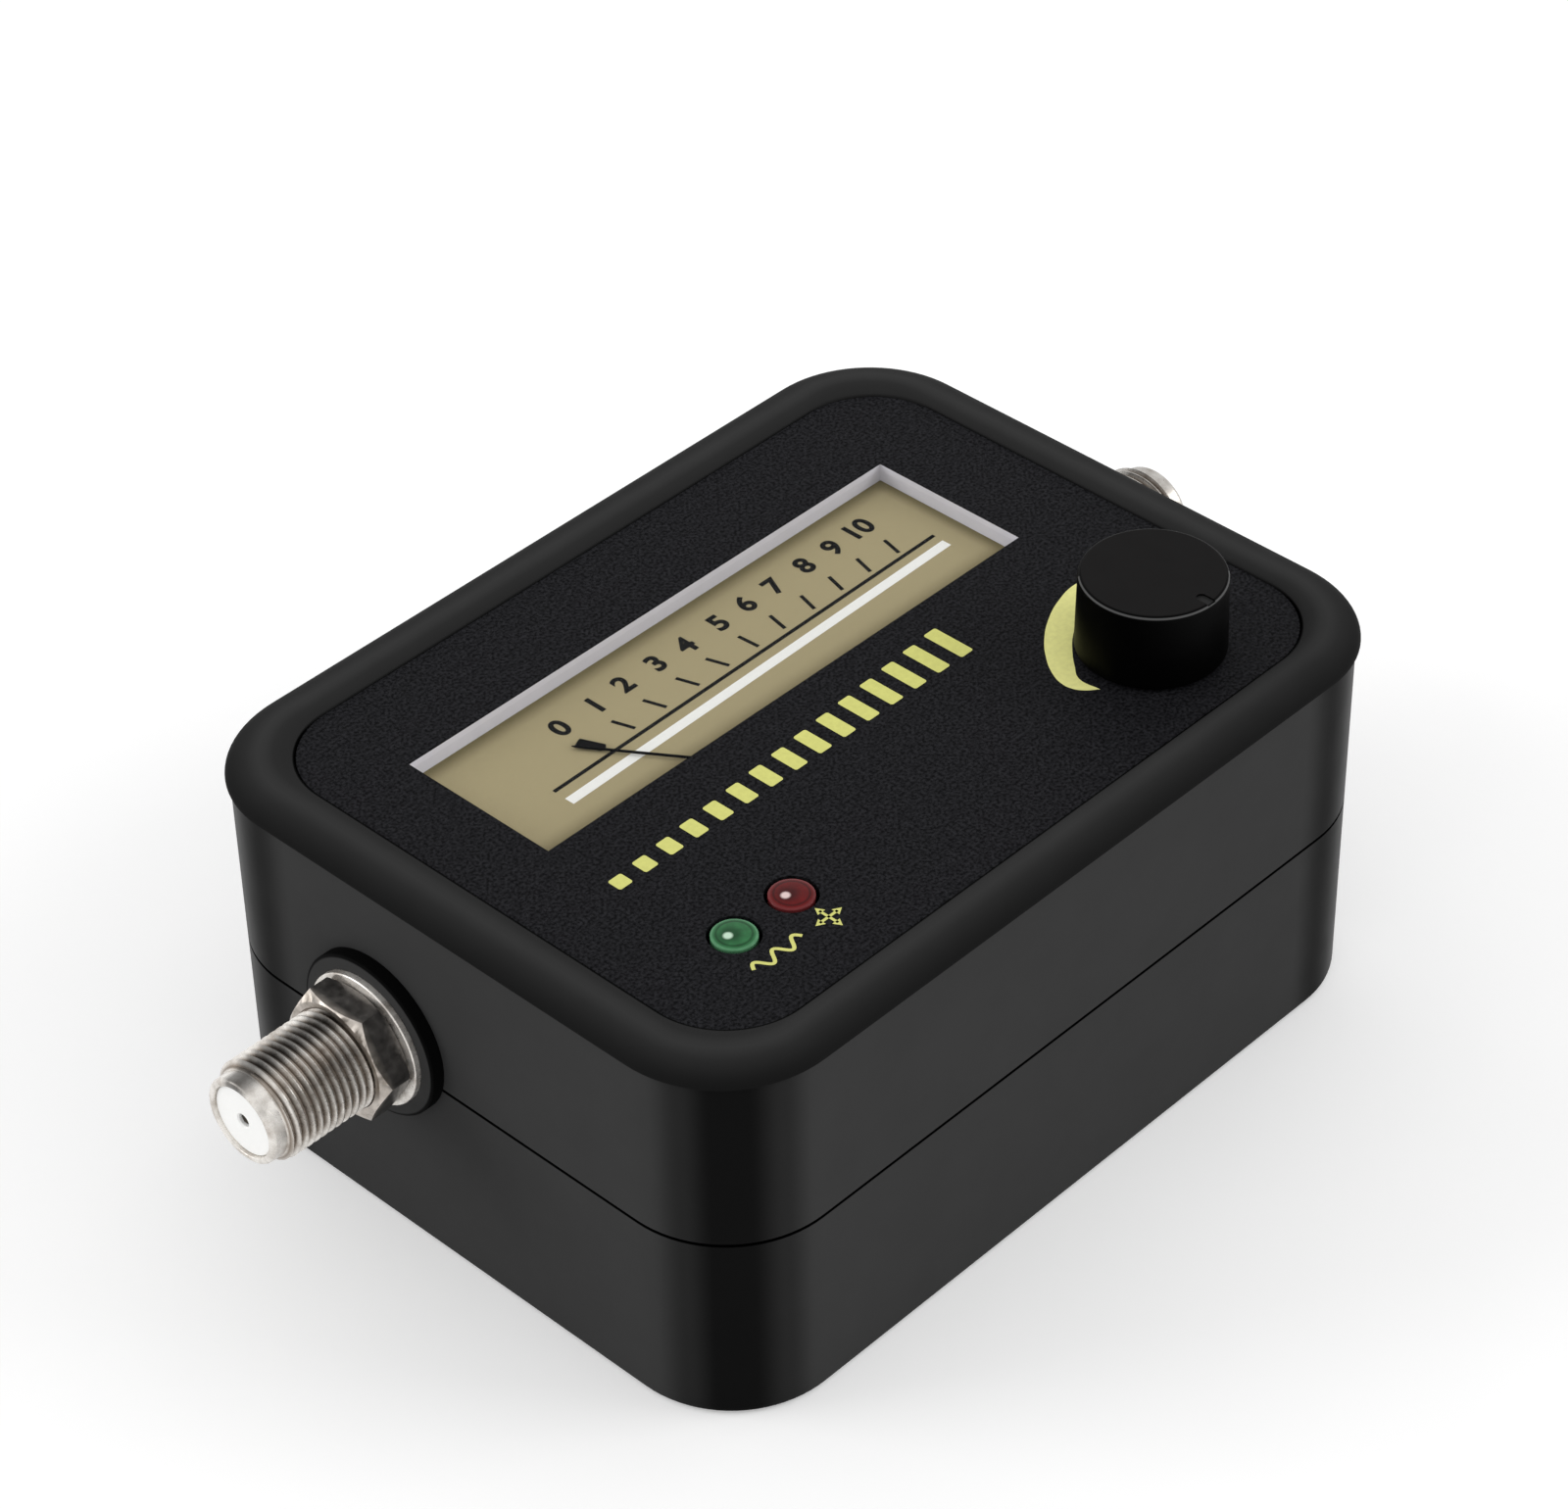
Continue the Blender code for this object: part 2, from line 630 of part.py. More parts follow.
def build_case_top():
    """Upper half shell, from its ceiling, down its inner side and up to the label's seat."""
    rebate = case_wall - lip_thickness - lip_clearance
    crest_z = label_height + rim_crest_rise
    rise = crest_z - rim_base_height
    rings = [
        wall_ring(case_wall, ceiling_z),
        wall_ring(case_wall, parting_height + lip_height + lip_clearance),
        wall_ring(rebate, parting_height + lip_height + lip_clearance),
        wall_ring(rebate, parting_high_z),
        wall_ring(0.0, parting_high_z),
        wall_ring(0.0, rim_base_height),
    ]
    for step in range(rim_arc_steps + 1):
        angle = math.radians(90.0 * step / rim_arc_steps)
        rings.append(rim_ring(rim_crest_share * (1.0 - math.cos(angle)),
                              rim_base_height + rise * math.sin(angle)))
    drop_steps = 3
    for step in range(1, drop_steps + 1):
        angle = math.radians(90.0 * step / drop_steps)
        share = rim_crest_share + (1.0 - rim_crest_share) * math.sin(angle)
        fall = (rim_crest_rise - rim_inner_rise) * (1.0 - math.cos(angle))
        rings.append(rim_ring(share, crest_z - fall))
    rings.append(rim_ring(1.0, panel_floor_z))
    shell = loft("case_top", rings, shell_black)

    def posts(bm):
        for place in post_places:
            add_cylinder(bm, post_radius, parting_high_z, ceiling_z + panel_thickness / 2, place)
        for place in pillar_places:
            add_cylinder(bm, pillar_radius, board_top_z + sheet_gap, ceiling_z + panel_thickness / 2,
                         place, steps=small_steps)

    def holes(bm):
        pilot = case_screw_shank_radius + running_gap
        for place in post_places:
            add_cylinder(bm, pilot, parting_high_z - overrun, parting_high_z + screw_pilot_depth,
                         place, steps=small_steps)
        board_pilot = board_screw_shank_radius + running_gap
        for place in pillar_places:
            add_cylinder(bm, board_pilot, board_top_z - overrun,
                         board_base_z + board_screw_length, place, steps=small_steps)
        for place in lamp_places.values():
            add_cylinder(bm, lamp_radius + running_gap, ceiling_z - overrun,
                         panel_floor_z + overrun, place)
        add_cylinder(bm, bushing_radius + running_gap, ceiling_z - overrun,
                     panel_floor_z + overrun, knob_place)
        socket_holes(bm)

    combine(shell, tool_from("case_top_posts", posts), "UNION")
    combine(shell, tool_from("case_top_holes", holes), "DIFFERENCE")
    opening = plate("meter_opening", [housing_outline(housing_wall + sheet_gap)],
                    ceiling_z - overrun, panel_floor_z + overrun)
    combine(shell, opening, "DIFFERENCE")


def build_case_bottom():
    """Lower half shell, from its floor, up its inner side, over the lip and down to the base."""
    lip_inset = case_wall - lip_thickness
    rings = [
        wall_ring(case_wall, case_floor),
        wall_ring(case_wall, parting_height + lip_height),
        wall_ring(lip_inset, parting_height + lip_height),
        wall_ring(lip_inset, parting_low_z),
        wall_ring(0.0, parting_low_z),
    ]
    edge_steps = 3
    for step in range(edge_steps + 1):
        angle = math.radians(90.0 * step / edge_steps)
        rings.append(wall_ring(base_edge_radius * (1.0 - math.cos(angle)),
                               base_edge_radius * (1.0 - math.sin(angle))))
    shell = loft("case_bottom", rings, shell_black)

    def posts(bm):
        for place in post_places:
            add_cylinder(bm, post_radius, case_floor / 2, parting_low_z, place)

    def holes(bm):
        for place in post_places:
            add_cylinder(bm, screw_well_radius, -overrun, screw_well_depth, place)
        socket_holes(bm)

    def shank_holes(bm):
        for place in post_places:
            add_cylinder(bm, screw_clear_radius, screw_well_depth - overrun,
                         parting_low_z + overrun, place, steps=small_steps)

    combine(shell, tool_from("case_bottom_posts", posts), "UNION")
    combine(shell, tool_from("case_bottom_holes", holes), "DIFFERENCE")
    combine(shell, tool_from("case_bottom_shank_holes", shank_holes), "DIFFERENCE")


def build_screw(name, place, seat_z, shank_radius, length, head_radius, head_height, slot_width,
                slot_depth):
    """Pan-head screw driven upwards, its head under seat_z, with a cross recess below."""
    point_z = length - screw_point_length
    profile = [(0.0, length), (shank_radius, point_z), (shank_radius, 0.0), (head_radius, 0.0),
               (head_radius, -head_height / 2), (head_radius * 0.75, -head_height),
               (0.0, -head_height)]
    screw = turned(name, profile, steel, steps=small_steps)
    screw.location = (place[0], place[1], seat_z)
    reach = head_radius * 0.6
    low_z = seat_z - head_height - overrun
    floor_z = seat_z - head_height + slot_depth
    half = slot_width / 2
    for letter, (half_x, half_y) in {"a": (reach, half), "b": (half, reach)}.items():
        def slot(bm):
            add_box(bm, (place[0] - half_x, place[1] - half_y, low_z),
                    (place[0] + half_x, place[1] + half_y, floor_z))

        combine(screw, tool_from("%s_slot_%s" % (name, letter), slot), "DIFFERENCE")


def build_case_screws():
    """Four self-tapping screws in the wells of the lower shell."""
    for number, place in enumerate(post_places, start=1):
        build_screw("case_screw_%d" % number, place, case_screw_seat_z,
                    case_screw_shank_radius, case_screw_length, case_screw_head_radius,
                    case_screw_head_height, case_screw_slot_width, case_screw_slot_depth)


def build_label():
    """Printed sheet on the front panel, with the window and the holes of lamps and bushing."""
    outlines = [
        rounded_rectangle(label_length, label_width, label_corner_radius, centre_y=label_centre_y),
        rectangle(window_left, window_right, window_front, window_back),
        circle(bushing_radius + running_gap, knob_place),
    ]
    outlines += [circle(lamp_radius + running_gap, place) for place in lamp_places.values()]
    plate("label_sheet", outlines, label_height - label_thickness, label_height, label_black)


def build_meter_housing():
    """Moulded T-shaped tray: a shallow bar under the scale and a deep stem for the movement."""
    collar_top = panel_floor_z - sheet_gap
    ear_top = ceiling_z - sheet_gap
    ear_base = ear_top - housing_ear_height
    ear_grow = housing_wall + housing_ear_width
    steps = [(housing_wall, collar_top), (housing_wall, ear_top), (ear_grow, ear_top),
             (ear_grow, ear_base), (housing_wall, ear_base), (housing_wall, bar_base_z)]
    rings = [[(x, y, height) for x, y in housing_outline(grow)] for grow, height in steps]
    housing = loft("meter_housing", rings, housing_grey)
    stem_left = pivot_x - stem_half_width + stem_step
    stem_right = pivot_x + stem_half_width - stem_step
    stem_front = stem_front_y + stem_step

    def stem(bm):
        add_box(bm, (stem_left - housing_wall, stem_front - housing_wall, stem_base_z),
                (stem_right + housing_wall, stem_back_y + housing_wall,
                 bar_base_z + housing_bar_depth / 2))

    def stem_hollow(bm):
        add_box(bm, (stem_left, stem_front, stem_floor_z),
                (stem_right, stem_back_y, bar_floor_z + housing_bar_depth / 2))

    def lens_seat(bm):
        add_box(bm, (window_left - lens_flange_width - sheet_gap,
                     window_front - lens_flange_width - sheet_gap, lens_flange_base_z - sheet_gap),
                (window_right + lens_flange_width + sheet_gap,
                 window_back + lens_flange_width + sheet_gap, panel_floor_z + overrun))

    def yoke_seat(bm):
        add_cylinder(bm, yoke_radius - sheet_gap, stem_floor_z - housing_floor / 2,
                     yoke_base_z - sheet_gap, pivot_place)

    def yoke_seat_bore(bm):
        add_cylinder(bm, yoke_bore_radius + sheet_gap, stem_floor_z, yoke_base_z + overrun, pivot_place)

    def floor_holes(bm):
        add_cylinder(bm, jewel_radius + running_gap, stem_base_z - overrun, stem_floor_z + overrun,
                     pivot_place, steps=small_steps)
        for x in (terminal_left_x, terminal_right_x):
            add_cylinder(bm, terminal_radius + running_gap, bar_base_z - overrun,
                         bar_floor_z + overrun, (x, terminal_y), steps=wire_steps)

    hollow = loft("housing_hollow", [[(x, y, height) for x, y in housing_outline(0.0)]
                                     for height in (bar_floor_z, collar_top + overrun)])
    combine(housing, tool_from("housing_stem", stem), "UNION")
    combine(housing, hollow, "DIFFERENCE")
    combine(housing, tool_from("housing_stem_hollow", stem_hollow), "DIFFERENCE")
    combine(housing, tool_from("housing_lens_seat", lens_seat), "DIFFERENCE")
    combine(housing, tool_from("housing_yoke_seat", yoke_seat), "UNION")
    combine(housing, tool_from("housing_yoke_seat_bore", yoke_seat_bore), "DIFFERENCE")
    combine(housing, tool_from("housing_floor_holes", floor_holes), "DIFFERENCE")


def build_lens_and_scale():
    """Clear lens with a step that fills the window, and the printed plate under it."""
    lens = plate("meter_lens", [rectangle(
        window_left - lens_flange_width, window_right + lens_flange_width,
        window_front - lens_flange_width, window_back + lens_flange_width)],
        lens_flange_base_z, lens_flange_top_z, lens_clear)
    step = plate("lens_step", [rectangle(
        window_left + sheet_gap, window_right - sheet_gap,
        window_front + sheet_gap, window_back - sheet_gap)],
        lens_flange_base_z + lens_flange_thickness / 2, lens_top_z)
    combine(lens, step, "UNION")
    plate("scale_plate", [rectangle(
        window_left - housing_inner_clear + sheet_gap, window_right + housing_inner_clear - sheet_gap,
        window_front - scale_front_margin + sheet_gap, window_back + housing_inner_clear - sheet_gap)],
        scale_base_z, scale_top_z, scale_olive)


def build_magnet_system():
    """Soft-iron yoke ring, magnet core on its cross pin, and the bridge over them."""
    half = yoke_height / 2
    yoke = turned("yoke_ring", [
        (yoke_radius, half), (yoke_radius, -half), (yoke_bore_radius, -half),
        (yoke_bore_radius, half)], iron, closed=True)
    yoke.location = (*pivot_place, yoke_mid_z)
    core = turned("core_magnet", [
        (0.0, core_height / 2), (core_radius, core_height / 2), (core_radius, -core_height / 2),
        (0.0, -core_height / 2)], iron, steps=round_steps)
    core.location = (*pivot_place, yoke_mid_z)

    def pin_hole(bm):
        add_cylinder(bm, core_pin_radius + running_gap, pivot_y - yoke_radius - overrun,
                     pivot_y + yoke_radius + overrun, (pivot_x, yoke_mid_z), axis="Y",
                     steps=small_steps)

    hole = tool_from("core_pin_hole", pin_hole)
    combine(yoke, hole, "DIFFERENCE")
    combine(core, hole, "DIFFERENCE")
    pin = bmesh.new()
    pin_reach = yoke_radius - sheet_gap
    add_cylinder(pin, core_pin_radius, pivot_y - pin_reach, pivot_y + pin_reach,
                 (pivot_x, yoke_mid_z), axis="Y", steps=small_steps)
    object_from_bmesh("core_pin", pin, parts, brass)
    foot_z = yoke_mid_z + half + sheet_gap
    leg_in = yoke_bore_radius
    leg_out = yoke_bore_radius + bridge_leg_thickness
    outline = [
        (pivot_x - leg_out, foot_z), (pivot_x - leg_in, foot_z), (pivot_x - leg_in, bridge_base_z),
        (pivot_x + leg_in, bridge_base_z), (pivot_x + leg_in, foot_z), (pivot_x + leg_out, foot_z),
        (pivot_x + leg_out, bridge_top_z), (pivot_x - leg_out, bridge_top_z)]
    bridge = plate("top_bridge", [outline], pivot_y - bridge_width / 2, pivot_y + bridge_width / 2,
                   brass, plane="Y")

    def jewel_hole(bm):
        add_cylinder(bm, jewel_radius + running_gap, bridge_base_z - overrun, bridge_top_z + overrun,
                     pivot_place, steps=small_steps)

    combine(bridge, tool_from("bridge_jewel_hole", jewel_hole), "DIFFERENCE")


def build_jewels():
    """Two bearing screws with a cone for the coil's pivots."""
    cup = coil_pivot_radius + running_gap
    profile = [
        (0.0, jewel_length - cup), (cup, jewel_length), (jewel_radius, jewel_length),
        (jewel_radius, 0.0), (0.0, 0.0)]
    lower = turned("lower_jewel", profile, brass, steps=small_steps)
    lower.location = (*pivot_place, stem_base_z + sheet_gap)
    upper = turned("upper_jewel", profile, brass, steps=small_steps)
    upper.rotation_euler = (math.pi, 0.0, 0.0)
    upper.location = (*pivot_place, bridge_base_z + jewel_length)


def place_on_pivot(item):
    """Put a moving piece's origin on the pointer's axis and turn it to its rest place."""
    item.location = (*pivot_place, 0.0)
    item.rotation_euler = (0.0, 0.0, pointer_swing)


def build_moving_coil():
    """Rectangular winding round the core, with a pivot above and below."""
    outer = coil_inner_half_width + coil_side_thickness
    window_top = yoke_mid_z + coil_inner_half_height
    window_base = yoke_mid_z - coil_inner_half_height
    outlines = [
        [(-outer, coil_base_z), (outer, coil_base_z), (outer, coil_top_z), (-outer, coil_top_z)],
        [(-coil_inner_half_width, window_base), (coil_inner_half_width, window_base),
         (coil_inner_half_width, window_top), (-coil_inner_half_width, window_top)]]
    coil = plate("moving_coil", outlines, -coil_depth / 2, coil_depth / 2, copper, plane="Y")
    lower_tip = stem_base_z + sheet_gap + jewel_length
    upper_tip = bridge_base_z - running_gap

    def pivots(bm):
        add_cylinder(bm, coil_pivot_radius, lower_tip, coil_base_z + coil_bar_height / 2, (0.0, 0.0),
                     steps=wire_steps)
        add_cylinder(bm, coil_pivot_radius, coil_top_z - coil_bar_height / 2, upper_tip, (0.0, 0.0),
                     steps=wire_steps)

    tool = tool_from("coil_pivots", pivots)
    combine(coil, tool, "UNION")
    place_on_pivot(tool)
    place_on_pivot(coil)


def build_pointer():
    """Pointer wire that rises from the hub to the scale, with a flag and a balance tail."""
    arm_z = (hub_base_z + hub_top_z) / 2
    path = [
        (0.0, -pointer_tail_reach, arm_z), (0.0, -pointer_hub_radius, arm_z),
        (0.0, pointer_knee_inner, arm_z), (0.0, pointer_knee_outer, pointer_plane_z),
        (0.0, pointer_reach, pointer_plane_z)]
    pointer = wire("pointer", path, pointer_wire_radius, pointer_black)
    head_base = pointer_reach - pointer_head_length
    half = pointer_head_thickness / 2
    head = plate("pointer_head", [[
        (0.0, head_base), (pointer_head_width, head_base + pointer_wire_radius),
        (pointer_head_width * 0.8, pointer_reach - pointer_head_length / 4),
        (0.0, pointer_reach - pointer_wire_radius)]],
        pointer_plane_z - half, pointer_plane_z + half)
    combine(pointer, head, "UNION")

    def hub(bm):
        add_cylinder(bm, pointer_hub_radius, hub_base_z, hub_top_z, (0.0, 0.0), steps=small_steps)
        tail = -pointer_tail_reach
        add_cylinder(bm, pointer_tail_radius, tail, tail + pointer_hub_radius, (0.0, arm_z),
                     axis="Y", steps=wire_steps)

    def hub_bore(bm):
        add_cylinder(bm, coil_pivot_radius + running_gap, hub_base_z - overrun, hub_top_z + overrun,
                     (0.0, 0.0), steps=wire_steps)

    hub_tool = tool_from("pointer_hub", hub)
    bore_tool = tool_from("pointer_hub_bore", hub_bore)
    combine(pointer, hub_tool, "UNION")
    combine(pointer, bore_tool, "DIFFERENCE")
    for item in (head, hub_tool, bore_tool, pointer):
        place_on_pivot(item)


def build_hairspring():
    """Flat spiral that returns the pointer, as one unbroken wire."""
    count = spring_turns * spring_points_per_turn
    path = []
    for step in range(count + 1):
        angle = 2.0 * math.pi * step / spring_points_per_turn
        radius = spring_inner_radius + (spring_outer_radius - spring_inner_radius) * step / count
        path.append((radius * math.cos(angle), radius * math.sin(angle), spring_plane_z))
    place_on_pivot(wire("hairspring", path, spring_wire_radius, brass, resolution=0))


def build_terminals():
    """Two solder pins from the meter's bar down through the circuit board."""
    for x, name in ((terminal_left_x, "left"), (terminal_right_x, "right")):
        pin = bmesh.new()
        add_cylinder(pin, terminal_radius, board_base_z - overrun, bar_floor_z - running_gap,
                     (x, terminal_y), steps=wire_steps)
        object_from_bmesh("meter_terminal_" + name, pin, parts, tinned)


def build_knob():
    """Gain knob with a hollow for the nut, a flatted bore and a notch towards the reader."""
    edge = arc((knob_radius - knob_edge_radius, knob_height - knob_edge_radius),
               knob_edge_radius, knob_edge_radius, 90.0, 0.0, 4)
    profile = [(0.0, knob_height), *edge, (knob_base_radius, 0.0), (knob_hollow_radius, 0.0),
               (knob_hollow_radius, knob_hollow_depth), (0.0, knob_hollow_depth)]
    knob = turned("knob", profile, knob_black, steps=fine_steps)
    knob.location = (*knob_place, knob_base_z)
    bore = bmesh.new()
    bore_radius = shaft_radius + running_gap / 2
    add_cylinder(bore, bore_radius, knob_hollow_depth - overrun, knob_bore_depth, (0.0, 0.0))
    cut_shaft_flat(bore, bore_radius - shaft_flat_depth)
    bore_tool = object_from_bmesh("knob_bore", bore, cutters)
    bore_tool.location = knob.location
    combine(knob, bore_tool, "DIFFERENCE")

    def notch(bm):
        add_box(bm, (-knob_notch_width / 2, -knob_radius - overrun, knob_height - knob_notch_depth),
                (knob_notch_width / 2, -knob_radius + knob_notch_length, knob_height + overrun))

    notch_tool = tool_from("knob_notch", notch)
    notch_tool.location = knob.location
    combine(knob, notch_tool, "DIFFERENCE")


def cut_shaft_flat(bm, distance):
    """Trim closed round stock to a flat at a distance towards -Y, and close the cut."""
    geometry = bm.verts[:] + bm.edges[:] + bm.faces[:]
    cut = bmesh.ops.bisect_plane(bm, geom=geometry, plane_co=(0.0, -distance, 0.0),
                                 plane_no=(0.0, -1.0, 0.0), clear_outer=True)
    rim = [item for item in cut["geom_cut"] if isinstance(item, bmesh.types.BMEdge)]
    bmesh.ops.contextual_create(bm, geom=rim)
    bmesh.ops.recalc_face_normals(bm, faces=bm.faces)


def build_potentiometer():
    """Shaft, threaded bushing, can and wafer of the gain control, with washer and nut."""
    shaft_base_z = pot_top_z - shaft_foot
    shaft_top_z = knob_base_z + knob_bore_depth - seat_gap
    flat_base_z = shaft_top_z - shaft_flat_length
    shaft = bmesh.new()
    add_cylinder(shaft, shaft_radius, shaft_base_z - knob_base_z, shaft_top_z - knob_base_z, (0.0, 0.0))
    shaft_object = object_from_bmesh("pot_shaft", shaft, parts, steel)
    shaft_object.location = (*knob_place, knob_base_z)

    def flat(bm):
        add_box(bm, (-shaft_radius - overrun, -shaft_radius - overrun, flat_base_z - knob_base_z),
                (shaft_radius + overrun, -shaft_radius + shaft_flat_depth,
                 shaft_top_z - knob_base_z + overrun))

    flat_tool = tool_from("shaft_flat", flat)
    flat_tool.location = shaft_object.location
    combine(shaft_object, flat_tool, "DIFFERENCE")

    bore = shaft_radius + running_gap
    flange_base_z = bushing_flange_top_z - bushing_flange_thickness
    bushing = turned("pot_bushing", [
        (bushing_radius, bushing_top_z), (bushing_radius, bushing_flange_top_z),
        (bushing_flange_radius, bushing_flange_top_z), (bushing_flange_radius, flange_base_z),
        (bore, flange_base_z), (bore, bushing_top_z)], steel, closed=True)
    bushing.location = (*knob_place, 0.0)
    can = turned("pot_can", [
        (0.0, shaft_base_z - seat_gap), (bore, shaft_base_z - seat_gap), (bore, pot_top_z),
        (pot_radius, pot_top_z), (pot_radius, pot_base_z), (0.0, pot_base_z)], steel)
    can.location = (*knob_place, 0.0)
    wafer_front = knob_y + pot_radius + sheet_gap
    wafer_base_z = pot_base_z
    wafer = bmesh.new()
    add_box(wafer, (knob_x - wafer_width / 2, wafer_front, wafer_base_z),
            (knob_x + wafer_width / 2, wafer_front + wafer_reach, wafer_base_z + wafer_thickness))
    wafer_object = object_from_bmesh("pot_wafer", wafer, parts, wafer_brown)

    def pins(bm):
        middle_y = wafer_front + wafer_reach / 2
        half = wafer_pin_width / 2
        for step in (-1, 0, 1):
            x = knob_x + step * wafer_pin_pitch
            add_box(bm, (x - half, middle_y - half, board_base_z - overrun),
                    (x + half, middle_y + half, wafer_base_z + wafer_thickness / 2))

    combine(wafer_object, tool_from("wafer_pins", pins), "UNION")
    turned("pot_washer", [
        (pot_washer_radius, pot_washer_base_z + pot_washer_thickness),
        (pot_washer_radius, pot_washer_base_z), (bushing_radius + running_gap, pot_washer_base_z),
        (bushing_radius + running_gap, pot_washer_base_z + pot_washer_thickness)],
        steel, closed=True).location = (*knob_place, 0.0)
    plate("pot_nut", [hexagon(pot_nut_flats, *knob_place),
                      circle(bushing_radius + running_gap, knob_place)],
          pot_nut_base_z, pot_nut_base_z + pot_nut_thickness, steel)


def build_lamps():
    """Two round indicator lamps with their leads."""
    materials = {"green": lamp_green, "red": lamp_red}
    dome_base = lamp_height - lamp_radius * 0.75
    for colour, place in lamp_places.items():
        dome = arc((0.0, dome_base), lamp_radius, lamp_height - dome_base, 90.0, 0.0, lamp_dome_steps)
        profile = [*dome, (lamp_radius, lamp_flange_thickness),
                   (lamp_flange_radius, lamp_flange_thickness), (lamp_flange_radius, 0.0), (0.0, 0.0)]
        lamp = turned("lamp_" + colour, profile, materials[colour])
        lamp.location = (*place, lamp_base_z)
        half = lead_width / 2
        for side, end in ((-1, "cathode"), (1, "anode")):
            x = place[0] + side * lead_pitch / 2
            lead = bmesh.new()
            add_box(lead, (x - half, place[1] - half, board_base_z - overrun),
                    (x + half, place[1] + half, lamp_base_z - sheet_gap))
            object_from_bmesh("lamp_%s_%s" % (colour, end), lead, parts, tinned)


def build_socket(side, name):
    """Coaxial socket on one end wall: body, insulator, contact, collar, washer and nut."""
    turn = (0.0, math.radians(90.0 * side), 0.0)
    place = (side * end_wall_x, socket_y, socket_z)
    inner = -(case_wall + seat_gap)
    block_end = inner - socket_block_length
    nose = socket_reach
    thread_end = nose - socket_nose_length
    body = turned("socket_body_" + name, [
        (0.0, nose), (socket_nose_radius - socket_nose_edge, nose),
        (socket_nose_radius, nose - socket_nose_edge), (socket_nose_radius, thread_end),
        (socket_thread_radius, thread_end - socket_nose_edge),
        (socket_thread_radius, inner - seat_gap), (0.0, inner - seat_gap)], nickel)
    body.rotation_euler = turn
    body.location = place
    half = socket_block_side / 2
    low_x, high_x = sorted((place[0] + side * inner, place[0] + side * block_end))

    def block(bm):
        add_box(bm, (low_x, socket_y - half, socket_z - half), (high_x, socket_y + half, socket_z + half))

    def bore(bm):
        start_x, end_x = sorted((place[0] + side * (nose + overrun),
                                 place[0] + side * (block_end - overrun)))
        add_cylinder(bm, socket_bore_radius, start_x, end_x, (socket_y, socket_z), axis="X")

    combine(body, tool_from("socket_block_" + name, block), "UNION")
    combine(body, tool_from("socket_bore_" + name, bore), "DIFFERENCE")

    fill_radius = socket_bore_radius - running_gap
    hole = contact_radius + running_gap
    insulator = turned("socket_insulator_" + name, [
        (hole, nose - insulator_recess), (fill_radius, nose - insulator_recess),
        (fill_radius, block_end), (hole, block_end)], insulator_white, closed=True)
    insulator.rotation_euler = turn
    insulator.location = place

    contact_start = place[0] + side * (nose - contact_recess)
    contact_bend = place[0] + side * (block_end - contact_tail)
    bend = contact_radius * 2
    wire("socket_contact_" + name, [
        (contact_start, socket_y, socket_z), (contact_bend + side * bend, socket_y, socket_z),
        (contact_bend, socket_y, socket_z + bend), (contact_bend, socket_y, board_top_z + seat_gap)],
        contact_radius, brass)

    clear = socket_thread_radius + running_gap
    collar_base = sheet_gap
    collar_top = collar_base + collar_thickness
    collar = turned("socket_collar_" + name, [
        (clear, collar_top), (collar_radius - collar_edge, collar_top),
        (collar_radius, collar_top - collar_edge), (collar_radius, collar_base),
        (clear, collar_base)], shell_black, steps=fine_steps, closed=True)
    collar.rotation_euler = turn
    collar.location = place
    washer_base = collar_top + sheet_gap
    washer_top = washer_base + washer_thickness
    washer = turned("socket_washer_" + name, [
        (clear, washer_top), (washer_radius, washer_top), (washer_radius, washer_base),
        (clear, washer_base)], nickel, closed=True)
    washer.rotation_euler = turn
    washer.location = place
    build_socket_nut(side, name, washer_top + sheet_gap, clear)


def build_socket_nut(side, name, base, bore_radius):
    """Hexagon nut with its outer corners turned off."""
    top = base + socket_nut_thickness
    nut = plate("socket_nut_" + name,
                [hexagon(socket_nut_flats, turn=socket_nut_turn), circle(bore_radius, (0.0, 0.0))],
                base, top, nickel)
    corner = socket_nut_flats / math.sqrt(3.0)
    trim = turned("nut_trim_" + name, [
        (0.0, top + overrun), (corner - nut_corner_chamfer - overrun * 2, top + overrun),
        (corner + overrun, top - nut_corner_chamfer), (corner + overrun, base - overrun),
        (0.0, base - overrun)])
    combine(nut, trim, "INTERSECT")
    for item in (nut, trim):
        item.rotation_euler = (0.0, math.radians(90.0 * side), 0.0)
        item.location = (side * end_wall_x, socket_y, socket_z)


